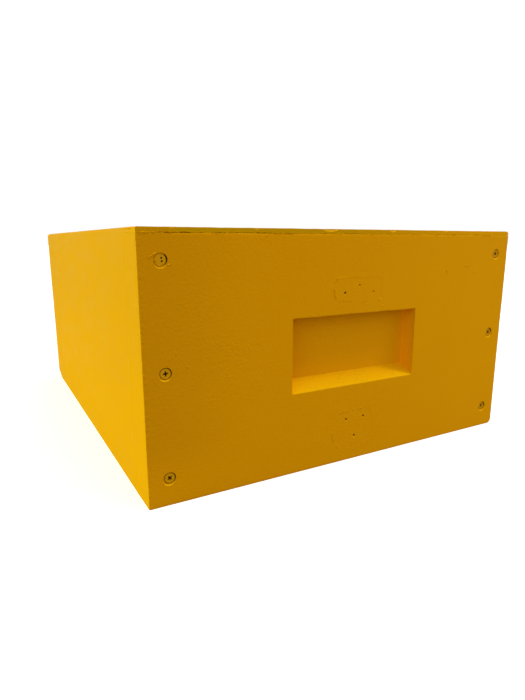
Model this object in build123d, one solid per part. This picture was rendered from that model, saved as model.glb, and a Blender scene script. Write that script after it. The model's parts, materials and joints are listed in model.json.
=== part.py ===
"""Polystyrene hive body: four screwed wall panels, rim strips, frame rests and lift-out frames.

Millimetres. X runs across the front, Y from front to back and Z up. The origin is the centre of the
footprint, on the surface that the body stands on. The frames set the inside of the body, and the
inside and the walls set the outside.
"""

import os

from build123d import *

# Frames: a self-spacing wooden frame round a sheet of plastic foundation
FRAME_COUNT = 10
FRAME_PITCH = 35.0
FRAME_LENGTH = 448.0  # over the outside of the end bars
FRAME_HEIGHT = 232.0
LUG_REACH = 17.0  # past the end bar
LUG_WIDTH = 25.0
LUG_THICKNESS = 9.5
NECK_WIDTH = 22.0  # where the end bar's fork holds the top bar
TOP_BAR_WIDTH = 27.0
TOP_BAR_HEIGHT = 19.0
END_BAR_THICKNESS = 9.5
SHOULDER_GAP = 0.3  # between the shoulders of neighbouring frames
SHOULDER_HEIGHT = 78.0
LOWER_END_BAR_WIDTH = 28.0
BOTTOM_BAR_WIDTH = 19.0
BOTTOM_BAR_HEIGHT = 12.0
WOOD_EASE = 0.8
JOINERY_FIT = 0.1
FOUNDATION_THICKNESS = 2.0
FOUNDATION_END_GAP = 2.5
FOUNDATION_TOP_GAP = 0.5
GROOVE_WIDTH = 3.0
TOP_GROOVE_DEPTH = 5.0
BOTTOM_GROOVE_DEPTH = 4.0

# Room that the body leaves round the frames
SIDE_SPACE = 12.5
END_SPACE = 9.5
RIM_SPACE = 7.0  # over the top bars
FLOOR_SPACE = 4.0  # under the bottom bars
LUG_CLEARANCE = 2.5

# Walls
SIDE_WALL = 40.0
END_WALL = 36.0
STRIP_THICKNESS = 6.0
STRIP_SETBACK = 0.4
STRIP_EASE = 0.6
PANEL_EASE = 1.2
PANEL_CORNER_RADIUS = 3.0

# Hand pocket in each end panel, with a floor that rises inwards
POCKET_WIDTH = 160.0
POCKET_HEIGHT = 75.0
POCKET_DEPTH = 18.0
POCKET_FLOOR_RISE = 10.5

# Countersunk cross-head screws that pin the end panels to the side panels
SCREW_ROWS = 3
SCREW_EDGE_DISTANCE = 26.0
SCREW_HEAD_DIAMETER = 9.7
SCREW_HEAD_LAND = 0.4
SCREW_SHANK_DIAMETER = 3.9
SCREW_CORE_DIAMETER = 3.2
SCREW_THREAD_DIAMETER = 5.0
SCREW_THREAD_PITCH = 3.0
SCREW_RIDGE_SHARE = 0.6  # of the pitch that a thread ridge takes up
SCREW_BITE = 44.0  # into the side panel
SCREW_TIP_LENGTH = 5.0
SCREW_SINK = 1.0  # of the head under the painted face
SCREW_SINK_DIAMETER = 11.0
SCREW_FIT = 0.1
SCREW_HOLE_SPARE = 2.0
CROSS_SPAN = 5.0
CROSS_WING = 1.3
CROSS_DEPTH = 1.9

# Steel frame rests, and the nails that hold them
REST_THICKNESS = 1.0
REST_LEG = 12.0
REST_FIT = 0.2
REST_END_GAP = 0.5
NAIL_COUNT = 5
NAIL_EDGE_DISTANCE = 25.0
NAIL_HEAD_DIAMETER = 5.0
NAIL_HEAD_THICKNESS = 0.9
NAIL_SHANK_DIAMETER = 1.8
NAIL_SHANK_LENGTH = 20.0
NAIL_FIT = 0.05

# Screw holes and faint plate marks that two removed hive clips left on the front
CLIP_HOLE_DIAMETER = 2.5
CLIP_HOLE_DEPTH = 15.0
MARK_DEPTH = 0.3
UPPER_CLIP_HALF_SPACING = 18.4
UPPER_CLIP_DROP = 61.9  # of its two outer holes under the rim
UPPER_CLIP_RISE = 7.3  # of its middle hole over the outer two
UPPER_MARK_WIDTH = 62.0
UPPER_MARK_HEIGHT = 23.0
UPPER_MARK_RADIUS = 5.0
UPPER_MARK_SHIFT = -1.5
UPPER_MARK_DROP = 58.8
LOWER_CLIP_HEIGHT = 39.8
LOWER_CLIP_CIRCLE = 27.0
LOWER_MARK_WIDTH = 56.0
LOWER_MARK_TOP_WIDTH = 40.0
LOWER_MARK_TOP = 56.5
LOWER_MARK_WAIST = 34.0
LOWER_MARK_BOTTOM = 12.5
LOWER_MARK_SHIFT = -1.5

# Sizes that follow
TOP_BAR_LENGTH = FRAME_LENGTH + 2 * LUG_REACH
SHOULDER_WIDTH = FRAME_PITCH - SHOULDER_GAP
INNER_WIDTH = FRAME_COUNT * FRAME_PITCH + 2 * SIDE_SPACE
INNER_LENGTH = FRAME_LENGTH + 2 * END_SPACE
BODY_HEIGHT = FLOOR_SPACE + FRAME_HEIGHT + RIM_SPACE
OUTER_WIDTH = INNER_WIDTH + 2 * SIDE_WALL
OUTER_LENGTH = INNER_LENGTH + 2 * END_WALL
PANEL_HEIGHT = BODY_HEIGHT - STRIP_THICKNESS
FRAME_TOP = BODY_HEIGHT - RIM_SPACE
FRAME_BOTTOM = FLOOR_SPACE
LUG_BOTTOM = FRAME_TOP - LUG_THICKNESS
REBATE_DEPTH = LUG_REACH - END_SPACE + LUG_CLEARANCE
REBATE_FLOOR = LUG_BOTTOM - REST_THICKNESS
NAIL_HEIGHT = LUG_BOTTOM - REST_LEG / 2
HALF_WIDTH = OUTER_WIDTH / 2
HALF_LENGTH = OUTER_LENGTH / 2
HALF_INNER_WIDTH = INNER_WIDTH / 2
HALF_INNER_LENGTH = INNER_LENGTH / 2
FRAME_END = FRAME_LENGTH / 2
FRAME_INSIDE_END = FRAME_END - END_BAR_THICKNESS
SCREW_LENGTH = END_WALL - SCREW_SINK + SCREW_BITE
OVERCUT = 1.0  # how far a cutting shape runs past the face it opens


def block(x, y, z):
    """Box between the low and high values given for each axis."""
    size = [high - low for low, high in (x, y, z)]
    centre = [(low + high) / 2 for low, high in (x, y, z)]
    return Pos(*centre) * Box(*size)


def turned_to_rear(shape):
    """The same shape at the rear of the body."""
    return Rot(0, 0, 180) * shape


def lathe(points):
    """Solid turned about the Y axis from (radius, y) points."""
    return revolve(make_face(Polyline(*points, close=True)), Axis.Y)


def screw_spots():
    """(x, z) of each screw in an end panel: a column at the middle of each side wall."""
    column = HALF_WIDTH - SIDE_WALL / 2
    step = (BODY_HEIGHT - 2 * SCREW_EDGE_DISTANCE) / (SCREW_ROWS - 1)
    heights = [SCREW_EDGE_DISTANCE + row * step for row in range(SCREW_ROWS)]
    return [(x, z) for x in (-column, column) for z in heights]


def nail_spots():
    """x of each nail along a frame rest."""
    reach = HALF_INNER_WIDTH - NAIL_EDGE_DISTANCE
    step = 2 * reach / (NAIL_COUNT - 1)
    return [-reach + number * step for number in range(NAIL_COUNT)]


# Screws


def screw():
    """Countersunk screw along +Y with the top of its head at y = 0."""
    head = SCREW_HEAD_DIAMETER / 2
    shank = SCREW_SHANK_DIAMETER / 2
    core = SCREW_CORE_DIAMETER / 2
    ridge = SCREW_THREAD_DIAMETER / 2
    thread_start = END_WALL - SCREW_SINK
    thread_end = SCREW_LENGTH - SCREW_TIP_LENGTH
    turns = max(1, round((thread_end - thread_start) / SCREW_THREAD_PITCH))
    pitch = (thread_end - thread_start) / turns
    cone_end = SCREW_HEAD_LAND + head - shank
    points = [(0, 0), (head, 0), (head, SCREW_HEAD_LAND), (shank, cone_end), (shank, thread_start)]
    for turn in range(turns):
        high = thread_start + (turn + 1) * pitch
        points.append((core, high - SCREW_RIDGE_SHARE * pitch))
        points.append((ridge, high - SCREW_RIDGE_SHARE * pitch / 2))
        points.append((core, high))
    points.append((0, SCREW_LENGTH))
    wing = Box(CROSS_SPAN, 2 * CROSS_DEPTH, CROSS_WING)
    return lathe(points) - wing - Rot(0, 90, 0) * wing


def screw_bore():
    """Hole that an end panel needs for a screw, with the painted face at y = 0."""
    sink = SCREW_SINK_DIAMETER / 2
    head = SCREW_HEAD_DIAMETER / 2 + SCREW_FIT
    hole = SCREW_SHANK_DIAMETER / 2 + SCREW_FIT
    cone = SCREW_SINK + SCREW_HEAD_LAND
    cone_end = cone + head - hole
    return lathe(
        [
            (0, -OVERCUT),
            (sink, -OVERCUT),
            (sink, SCREW_SINK),
            (head, SCREW_SINK),
            (head, cone),
            (hole, cone_end),
            (hole, END_WALL + OVERCUT),
            (0, END_WALL + OVERCUT),
        ]
    )


def front_screws():
    """The six screws of the front panel, each a solid of its own."""
    spots = screw_spots()
    return [Pos(x, SCREW_SINK - HALF_LENGTH, z) * screw() for x, z in spots]


# Wall panels


def end_panel():
    """Panel across the front: hand pocket, screw holes and the rebate for the frame rest."""
    panel = block((-HALF_WIDTH, HALF_WIDTH), (-HALF_LENGTH, -HALF_INNER_LENGTH), (0, PANEL_HEIGHT))
    lower_corners = panel.edges().filter_by(Axis.Y).group_by(Axis.Z)[0]
    panel = fillet(lower_corners, PANEL_CORNER_RADIUS)
    upright = panel.faces().sort_by(Axis.Y)[0].edges().filter_by(Axis.Z)
    panel = fillet(upright, PANEL_EASE)
    panel -= hand_pocket()
    panel -= block(
        (-HALF_INNER_WIDTH, HALF_INNER_WIDTH),
        (-HALF_INNER_LENGTH - REBATE_DEPTH, -HALF_INNER_LENGTH + OVERCUT),
        (REBATE_FLOOR, PANEL_HEIGHT + OVERCUT),
    )
    for x, z in screw_spots():
        panel -= Pos(x, -HALF_LENGTH, z) * screw_bore()
    for x in nail_spots():
        panel -= Pos(x, -HALF_INNER_LENGTH, NAIL_HEIGHT) * nail_bore()
    return panel


def hand_pocket():
    """Cutting shape of a hand pocket: square sides and top, and a floor that drains outwards."""
    middle = BODY_HEIGHT / 2
    low = middle - POCKET_HEIGHT / 2
    high = middle + POCKET_HEIGHT / 2
    face = -HALF_LENGTH
    slope = POCKET_FLOOR_RISE / POCKET_DEPTH
    profile = Polyline(
        (0, face - OVERCUT, low - slope * OVERCUT),
        (0, face + POCKET_DEPTH, low + POCKET_FLOOR_RISE),
        (0, face + POCKET_DEPTH, high),
        (0, face - OVERCUT, high),
        close=True,
    )
    return extrude(make_face(profile), POCKET_WIDTH / 2, dir=(1, 0, 0), both=True)


def clip_holes():
    """Cutting shapes of the screw holes that the two removed clips left."""
    upper = BODY_HEIGHT - UPPER_CLIP_DROP
    spots = [(-UPPER_CLIP_HALF_SPACING, upper), (UPPER_CLIP_HALF_SPACING, upper)]
    spots.append((0, upper + UPPER_CLIP_RISE))
    ring = PolarLocations(LOWER_CLIP_CIRCLE / 2, 3, start_angle=-90)
    spots += [(at.position.X, LOWER_CLIP_HEIGHT + at.position.Y) for at in ring]
    drill = Rot(90, 0, 0) * Cylinder(CLIP_HOLE_DIAMETER / 2, 2 * CLIP_HOLE_DEPTH)
    return [Pos(x, -HALF_LENGTH, z) * drill for x, z in spots]


def plate_marks():
    """Cutting shapes of the shallow marks where clip plates once kept the paint off."""
    upper = RectangleRounded(UPPER_MARK_WIDTH, UPPER_MARK_HEIGHT, UPPER_MARK_RADIUS)
    upper = Pos(UPPER_MARK_SHIFT, BODY_HEIGHT - UPPER_MARK_DROP) * upper
    half_top = LOWER_MARK_TOP_WIDTH / 2
    half = LOWER_MARK_WIDTH / 2
    left, right = (-half, LOWER_MARK_WAIST), (half, LOWER_MARK_WAIST)
    sides = Polyline(left, (-half_top, LOWER_MARK_TOP), (half_top, LOWER_MARK_TOP), right)
    bowl = ThreePointArc(right, (0, LOWER_MARK_BOTTOM), left)
    lower = Pos(LOWER_MARK_SHIFT, 0) * make_face([*sides.edges(), *bowl.edges()])
    face = Plane(origin=(0, -HALF_LENGTH, 0), x_dir=(1, 0, 0), z_dir=(0, -1, 0))
    return [extrude(face * mark, MARK_DEPTH, both=True) for mark in (upper, lower)]


def front_panel():
    """End panel with the holes and marks that the removed clips left."""
    panel = end_panel()
    for cut in [*plate_marks(), *clip_holes()]:
        panel -= cut
    return panel


def side_panel(side):
    """Panel between the end panels. side is -1 at the left and 1 at the right."""
    inside, outside = side * HALF_INNER_WIDTH, side * HALF_WIDTH
    panel = block(sorted((inside, outside)), (-HALF_INNER_LENGTH, HALF_INNER_LENGTH), (0, BODY_HEIGHT))
    outer = panel.faces().sort_by(Axis.X)[-1 if side > 0 else 0]
    panel = fillet(outer.edges().filter_by(Axis.Y), PANEL_EASE)
    depth = SCREW_BITE + SCREW_HOLE_SPARE
    pilot = Rot(90, 0, 0) * Cylinder(SCREW_THREAD_DIAMETER / 2 + SCREW_FIT, 2 * depth)
    for x, z in screw_spots():
        if x * side > 0:
            panel -= [Pos(x, end * HALF_INNER_LENGTH, z) * pilot for end in (-1, 1)]
    return panel


def top_strip():
    """Strip along the top of the front panel, cut back over the frame rest."""
    outer = -HALF_LENGTH + STRIP_SETBACK
    strip = block((-HALF_WIDTH, HALF_WIDTH), (outer, -HALF_INNER_LENGTH), (PANEL_HEIGHT, BODY_HEIGHT))
    outer_edges = strip.faces().sort_by(Axis.Y)[0].edges().filter_by(Axis.X)
    end_edges = strip.edges().filter_by(Axis.Y).group_by(Axis.Z)[-1]
    strip = fillet([*outer_edges, *end_edges], STRIP_EASE)
    return strip - block(
        (-HALF_INNER_WIDTH, HALF_INNER_WIDTH),
        (-HALF_INNER_LENGTH - REBATE_DEPTH, -HALF_INNER_LENGTH + OVERCUT),
        (PANEL_HEIGHT - OVERCUT, BODY_HEIGHT + OVERCUT),
    )


# Frame rests


def frame_rest():
    """Steel angle in the front rebate: one leg under the lugs, one down the inside of the panel."""
    reach = HALF_INNER_WIDTH - REST_END_GAP
    inside = -HALF_INNER_LENGTH + REST_THICKNESS
    shelf = block(
        (-reach, reach),
        (-HALF_INNER_LENGTH - REBATE_DEPTH + REST_FIT, inside),
        (REBATE_FLOOR, LUG_BOTTOM),
    )
    leg = block((-reach, reach), (-HALF_INNER_LENGTH, inside), (LUG_BOTTOM - REST_LEG, LUG_BOTTOM))
    angle = shelf + leg
    bend = angle.edges().filter_by(Axis.X).sort_by(lambda edge: edge.center().Y + edge.center().Z)[-1]
    angle = fillet(bend, REST_THICKNESS / 2)
    for x in nail_spots():
        hole = Rot(90, 0, 0) * Cylinder(NAIL_SHANK_DIAMETER / 2 + NAIL_FIT, 4 * REST_THICKNESS)
        angle -= Pos(x, -HALF_INNER_LENGTH, NAIL_HEIGHT) * hole
    return angle


def nail():
    """Flat-headed nail along -Y with the underside of its head at y = 0."""
    head = NAIL_HEAD_DIAMETER / 2
    shank = NAIL_SHANK_DIAMETER / 2
    return lathe(
        [
            (0, NAIL_HEAD_THICKNESS),
            (head - NAIL_HEAD_THICKNESS / 2, NAIL_HEAD_THICKNESS),
            (head, NAIL_HEAD_THICKNESS / 2),
            (head, 0),
            (shank, 0),
            (shank, 2 * shank - NAIL_SHANK_LENGTH),
            (0, -NAIL_SHANK_LENGTH),
        ]
    )


def nail_bore():
    """Hole that an end panel needs for a nail, with the panel's inside at y = 0."""
    depth = NAIL_SHANK_LENGTH - REST_THICKNESS + NAIL_FIT
    return Rot(90, 0, 0) * Cylinder(NAIL_SHANK_DIAMETER / 2 + NAIL_FIT, 2 * depth)


def front_rest_nails():
    """The nails of the front frame rest, each a solid of its own."""
    seat = -HALF_INNER_LENGTH + REST_THICKNESS
    return [Pos(x, seat, NAIL_HEIGHT) * nail() for x in nail_spots()]


# Frames


def frame_place(number):
    """x of a frame, counted from 0 at the left."""
    return (number - (FRAME_COUNT - 1) / 2) * FRAME_PITCH


def centred(width):
    """Low and high values of a width that is centred on a frame."""
    return (-width / 2, width / 2)


def top_bar():
    """Bar with a lug at each end that hangs on the frame rests, and a groove for the foundation."""
    low = FRAME_TOP - TOP_BAR_HEIGHT
    bar = block(centred(TOP_BAR_WIDTH), centred(2 * FRAME_INSIDE_END), (low, FRAME_TOP))
    neck = block(centred(NECK_WIDTH), centred(FRAME_LENGTH), (LUG_BOTTOM, FRAME_TOP))
    lugs = block(centred(LUG_WIDTH), centred(TOP_BAR_LENGTH), (LUG_BOTTOM, FRAME_TOP))
    lugs -= block(centred(2 * LUG_WIDTH), centred(FRAME_LENGTH), (low, FRAME_TOP + OVERCUT))
    bar = bar + neck + lugs
    long_edges = bar.edges().filter_by(Axis.Y).filter_by(lambda edge: edge.length > FRAME_INSIDE_END)
    bar = chamfer(long_edges, WOOD_EASE)
    return bar - block(centred(GROOVE_WIDTH), centred(FRAME_LENGTH), (low - OVERCUT, low + TOP_GROOVE_DEPTH))


def end_bar():
    """Front end bar: forked round the top bar, shouldered to space the frames, slotted below."""
    thickness = (-FRAME_END, -FRAME_INSIDE_END)
    bar = block(centred(SHOULDER_WIDTH), thickness, (FRAME_BOTTOM, FRAME_TOP))
    for side in (-1, 1):
        inner, outer = side * LOWER_END_BAR_WIDTH / 2, side * SHOULDER_WIDTH
        below = (FRAME_BOTTOM - OVERCUT, FRAME_TOP - SHOULDER_HEIGHT)
        bar -= block(sorted((inner, outer)), (-FRAME_LENGTH, 0), below)
    fork_width = NECK_WIDTH + 2 * JOINERY_FIT
    fork = block(centred(fork_width), (-FRAME_LENGTH, 0), (LUG_BOTTOM, FRAME_TOP + OVERCUT))
    slot_top = FRAME_BOTTOM + BOTTOM_BAR_HEIGHT
    slot_width = BOTTOM_BAR_WIDTH + 2 * JOINERY_FIT
    slot = block(centred(slot_width), (-FRAME_LENGTH, 0), (FRAME_BOTTOM - OVERCUT, slot_top))
    return bar - fork - slot


def end_bars():
    """Both end bars of a frame."""
    return [end_bar(), turned_to_rear(end_bar())]


def bottom_bar():
    """Bar in the slots of the end bars, grooved for the foundation."""
    top = FRAME_BOTTOM + BOTTOM_BAR_HEIGHT
    bar = block(centred(BOTTOM_BAR_WIDTH), centred(FRAME_LENGTH), (FRAME_BOTTOM, top))
    lower_edges = bar.faces().sort_by(Axis.Z)[0].edges().filter_by(Axis.Y)
    bar = chamfer(lower_edges, WOOD_EASE)
    deep = (top - BOTTOM_GROOVE_DEPTH, top + OVERCUT)
    return bar - block(centred(GROOVE_WIDTH), centred(2 * FRAME_INSIDE_END), deep)


def foundation():
    """Plastic foundation sheet between the grooves of the top and bottom bars."""
    low = FRAME_BOTTOM + BOTTOM_BAR_HEIGHT - BOTTOM_GROOVE_DEPTH
    high = FRAME_TOP - TOP_BAR_HEIGHT + TOP_GROOVE_DEPTH - FOUNDATION_TOP_GAP
    length = 2 * (FRAME_INSIDE_END - FOUNDATION_END_GAP)
    return block(centred(FOUNDATION_THICKNESS), centred(length), (low, high))


def pieces():
    """Each node's name and its solids."""
    screws, nails = front_screws(), front_rest_nails()
    made = {
        "front_panel": [front_panel()],
        "rear_panel": [turned_to_rear(end_panel())],
        "left_side_panel": [side_panel(-1)],
        "right_side_panel": [side_panel(1)],
        "front_top_strip": [top_strip()],
        "rear_top_strip": [turned_to_rear(top_strip())],
        "front_screws": screws,
        "rear_screws": [turned_to_rear(one) for one in screws],
        "front_frame_rest": [frame_rest()],
        "rear_frame_rest": [turned_to_rear(frame_rest())],
        "front_rest_nails": nails,
        "rear_rest_nails": [turned_to_rear(one) for one in nails],
    }
    frame_parts = {
        "top_bar": [top_bar()],
        "end_bars": end_bars(),
        "bottom_bar": [bottom_bar()],
        "foundation": [foundation()],
    }
    for number in range(FRAME_COUNT):
        at = Pos(frame_place(number), 0, 0)
        for part, solids in frame_parts.items():
            made[f"frame_{number + 1:02d}_{part}"] = [at * solid for solid in solids]
    return made


os.makedirs("parts", exist_ok=True)
for name, solids in pieces().items():
    export_step(Compound(children=solids) if len(solids) > 1 else solids[0], f"parts/{name}.step")
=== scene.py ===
"""Looks of the painted polystyrene hive body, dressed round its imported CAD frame.

Lengths are metres in the frame's own axes: +X to the right across the front, +Y from the front to
the back and +Z up.
"""

import json
import logging
import math
import random
from contextlib import contextmanager
from dataclasses import dataclass, field
from enum import Enum
from typing import Callable, Iterator

import bpy
from mathutils import Matrix, Vector

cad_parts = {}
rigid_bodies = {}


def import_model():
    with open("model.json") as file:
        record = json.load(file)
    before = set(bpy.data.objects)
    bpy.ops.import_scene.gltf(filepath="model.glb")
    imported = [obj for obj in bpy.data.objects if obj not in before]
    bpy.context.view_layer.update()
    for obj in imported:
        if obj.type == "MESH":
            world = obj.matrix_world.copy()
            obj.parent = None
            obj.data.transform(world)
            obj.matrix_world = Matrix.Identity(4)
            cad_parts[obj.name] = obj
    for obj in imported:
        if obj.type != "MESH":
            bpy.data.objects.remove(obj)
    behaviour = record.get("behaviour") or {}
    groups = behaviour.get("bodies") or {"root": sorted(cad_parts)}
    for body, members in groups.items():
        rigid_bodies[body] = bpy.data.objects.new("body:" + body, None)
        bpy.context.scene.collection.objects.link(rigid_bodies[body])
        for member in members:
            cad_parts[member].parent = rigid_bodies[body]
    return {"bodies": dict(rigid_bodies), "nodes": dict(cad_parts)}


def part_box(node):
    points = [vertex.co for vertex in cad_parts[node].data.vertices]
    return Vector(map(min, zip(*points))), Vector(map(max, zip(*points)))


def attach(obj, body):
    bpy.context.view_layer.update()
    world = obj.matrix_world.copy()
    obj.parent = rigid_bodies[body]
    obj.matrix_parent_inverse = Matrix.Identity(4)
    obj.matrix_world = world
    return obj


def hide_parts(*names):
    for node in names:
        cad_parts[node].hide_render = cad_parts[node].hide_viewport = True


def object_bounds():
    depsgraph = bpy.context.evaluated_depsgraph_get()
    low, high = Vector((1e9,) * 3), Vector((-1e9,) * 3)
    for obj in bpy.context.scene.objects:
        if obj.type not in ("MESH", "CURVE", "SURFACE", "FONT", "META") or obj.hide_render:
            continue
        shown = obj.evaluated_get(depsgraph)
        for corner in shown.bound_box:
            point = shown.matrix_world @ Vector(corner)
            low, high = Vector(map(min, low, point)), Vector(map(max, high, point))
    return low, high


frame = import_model()
CAD_LOW, CAD_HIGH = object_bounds()

MM = 0.001
ROOT_BODY = "hive_body"
# How far the end panels reach up past the CAD's joint with the strips, which look thinner in the photo
SEAM_RISE = 1.4 * MM
# Degrees between two faces from which the edge between them counts as sharp
SHARP = 40.0
# How many times longer an edge is along an axis than across it, to count as running along it
STRAIGHT = 9.0
Triple = tuple[float, float, float]
Colour = tuple[float, float, float]
Outlet = bpy.types.NodeSocket
Outlets = bpy.types.NodeOutputs
Value = float | Colour | Outlet
Test = Callable[[Vector, Vector], bool]
log = logging.getLogger("hive_body")


class Axis(Enum):
    """Directions of the frame."""

    X = (1.0, 0.0, 0.0)
    Y = (0.0, 1.0, 0.0)
    Z = (0.0, 0.0, 1.0)


class End(Enum):
    """The two ends of the body, by the side of Y they lie on."""

    FRONT = -1
    REAR = 1


class Pick(Enum):
    """What an edit works on, by the operator's own word for it."""

    POINTS = "VERT"
    EDGES = "EDGE"
    FACES = "FACE"


class Socket(Enum):
    """Kinds of socket on a shared surface effect."""

    VALUE = "NodeSocketFloat"
    COLOUR = "NodeSocketColor"
    VECTOR = "NodeSocketVector"


# The bench


def clear_bench() -> None:
    """Leaves nothing selected, so that an operator meets only what is picked next."""
    bpy.ops.object.select_all(action="DESELECT")


def runs_along(run: Vector, axis: Axis) -> bool:
    """Whether an edge runs along an axis and hardly across it."""
    across = sum(abs(part) for part, own in zip(run, axis.value) if not own)
    return abs(run.dot(Vector(axis.value))) > STRAIGHT * across


class Workpiece:
    """One mesh on the bench, shaped with Blender's own operators."""

    def __init__(self, name: str) -> None:
        """Takes up the object that an operator has just added, with its place put into its mesh.

        Args:
            name: the piece's name.
        """
        self.object = bpy.context.object
        self.object.name = name
        self.object.data.name = name
        bpy.ops.object.transform_apply(location=True, rotation=True, scale=True)

    @classmethod
    def block(cls, name: str, low: Vector, high: Vector) -> "Workpiece":
        """Starts from a cube between two corners.

        Args:
            name: the piece's name.
            low: lowest corner.
            high: highest corner.

        Returns:
            The new workpiece.
        """
        clear_bench()
        bpy.ops.mesh.primitive_cube_add(size=1.0, location=(low + high) / 2, scale=high - low)
        return cls(name)

    @classmethod
    def turned(
        cls, name: str, at: Vector, profile: list[tuple[float, float]], sides: int, axis: Axis
    ) -> "Workpiece":
        """Starts from a disc and draws it out along an axis, ring by ring, as on a lathe.

        Args:
            name: the piece's name.
            at: where the axis meets depth 0.
            profile: (radius, depth) of each ring, from the first end to the last.
            sides: sides of each ring.
            axis: the axis, Y or Z.

        Returns:
            The new workpiece, closed at both ends.
        """
        clear_bench()
        run = Vector(axis.value)
        tilt = math.pi / 2 if axis is Axis.Y else 0.0
        radius, depth = profile[0]
        place = at + run * depth
        bpy.ops.mesh.primitive_circle_add(
            vertices=sides, radius=radius, fill_type="NGON", location=place, rotation=(tilt, 0.0, 0.0)
        )
        piece = cls(name)
        with piece.edit():
            bpy.ops.mesh.select_mode(type=Pick.FACES.value)
            bpy.ops.mesh.select_all(action="SELECT")
            for wide, deep in profile[1:]:
                place = at + run * deep
                bpy.ops.mesh.extrude_region_move(TRANSFORM_OT_translate={"value": run * (deep - depth)})
                factors = [1.0 if part else wide / radius for part in run]
                bpy.ops.transform.resize(value=factors, center_override=place)
                radius, depth = wide, deep
        piece.face_outwards()
        return piece

    @classmethod
    def pebble(cls, name: str, at: Vector, size: Vector) -> "Workpiece":
        """Starts from a ball squashed to a size.

        Args:
            name: the piece's name.
            at: its middle.
            size: its length along each axis.

        Returns:
            The new workpiece.
        """
        clear_bench()
        bpy.ops.mesh.primitive_ico_sphere_add(subdivisions=3, radius=0.5, location=at, scale=size)
        return cls(name)

    @classmethod
    def path(cls, name: str, places: list[Vector]) -> "Workpiece":
        """Starts from a plane shrunk to a point and draws the point along a line.

        Args:
            name: the piece's name.
            places: corners of the line.

        Returns:
            The new workpiece, which has edges and no faces.
        """
        clear_bench()
        bpy.ops.mesh.primitive_plane_add(size=MM, location=places[0])
        piece = cls(name)
        with piece.edit():
            bpy.ops.mesh.select_mode(type=Pick.POINTS.value)
            bpy.ops.mesh.select_all(action="SELECT")
            bpy.ops.mesh.merge(type="CENTER")
            for start, stop in zip(places, places[1:]):
                bpy.ops.mesh.extrude_region_move(TRANSFORM_OT_translate={"value": stop - start})
        return piece

    def take(self) -> None:
        """Makes this the one selected and active object."""
        clear_bench()
        self.object.select_set(True)
        bpy.context.view_layer.objects.active = self.object

    @contextmanager
    def edit(self) -> Iterator[None]:
        """Opens the mesh for editing and closes it again."""
        self.take()
        bpy.ops.object.mode_set(mode="EDIT")
        yield
        bpy.ops.object.mode_set(mode="OBJECT")

    def pick(self, kind: Pick, test: Test) -> None:
        """Selects points, edges or faces by their place.

        Args:
            kind: what to select.
            test: takes a point's or a face's place and normal, or an edge's middle and its run.
        """
        with self.edit():
            bpy.ops.mesh.select_mode(type=kind.value)
            bpy.ops.mesh.select_all(action="DESELECT")
        mesh = self.object.data
        if kind is Pick.POINTS:
            for point in mesh.vertices:
                point.select = test(point.co, point.normal)
        elif kind is Pick.FACES:
            for face in mesh.polygons:
                face.select = test(face.center, face.normal)
        else:
            for edge in mesh.edges:
                start, stop = (mesh.vertices[index].co for index in edge.vertices)
                edge.select = test((start + stop) / 2, stop - start)

    def cut(self, axis: Axis, places: list[float]) -> None:
        """Scores the whole mesh with cuts square to an axis.

        Args:
            axis: the axis.
            places: where the cuts cross it.
        """
        normal = Vector(axis.value)
        with self.edit():
            for place in places:
                bpy.ops.mesh.select_all(action="SELECT")
                bpy.ops.mesh.bisect(plane_co=normal * place, plane_no=normal, use_fill=False)

    def cut_evenly(self, axis: Axis, low: float, high: float, step: float) -> None:
        """Scores the mesh with evenly spaced cuts.

        Args:
            axis: the axis that the cuts cross.
            low: where the spacing starts.
            high: where it ends.
            step: about how far apart the cuts are.
        """
        count = max(1, round((high - low) / step))
        self.cut(axis, [low + (high - low) * number / count for number in range(1, count)])

    def refine(self, cuts: int, test: Test) -> None:
        """Divides the edges that pass a test, and the faces between them.

        Args:
            cuts: new points on each edge.
            test: takes an edge's middle and its run.
        """
        self.pick(Pick.EDGES, test)
        with self.edit():
            bpy.ops.mesh.subdivide(number_cuts=cuts)

    def extrude(self, step: Vector) -> None:
        """Draws the picked faces out by a step."""
        with self.edit():
            bpy.ops.mesh.extrude_region_move(TRANSFORM_OT_translate={"value": step})

    def resize(self, factors: Triple, about: Vector) -> None:
        """Scales what is picked about a point."""
        with self.edit():
            bpy.ops.transform.resize(value=factors, center_override=about)

    def round_over(self, width: float, segments: int, test: Test) -> None:
        """Bevels the edges that pass a test.

        Args:
            width: width of the bevel.
            segments: faces across it.
            test: takes an edge's middle and its run.
        """
        self.pick(Pick.EDGES, test)
        with self.edit():
            bpy.ops.mesh.bevel(offset=width, segments=segments, affect="EDGES")

    def round_corner(self, inner: Vector, radius: float, segments: int) -> None:
        """Rounds an edge along Y, less and less towards its inner end, where the next piece butts.

        Args:
            inner: the inner end of the edge.
            radius: radius at the outer end.
            segments: faces round it.
        """

        def at_corner(at: Vector, run: Vector) -> bool:
            """Whether an edge is the one to round."""
            return abs(run.y) > MM and math.hypot(at.x - inner.x, at.z - inner.z) < MM

        self.round_over(radius, segments, at_corner)
        near = 1.05 * radius
        self.pick(Pick.POINTS, lambda at, normal: (at - inner).length < near)
        self.resize((0.0, 0.0, 0.0), inner)
        self.face_outwards()

    def dent(self, at: Vector, pull: Vector, reach: float) -> None:
        """Pulls the point nearest a place, and its neighbours less and less.

        Args:
            at: the place.
            pull: how far the nearest point moves.
            reach: how far out the pull is felt.
        """
        self.pick(Pick.POINTS, lambda place, _: False)
        nearest = min(self.object.data.vertices, key=lambda point: (point.co - at).length_squared)
        nearest.select = True
        with self.edit():
            bpy.ops.transform.translate(
                value=pull,
                use_proportional_edit=True,
                proportional_edit_falloff="SMOOTH",
                proportional_size=reach,
            )

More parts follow.
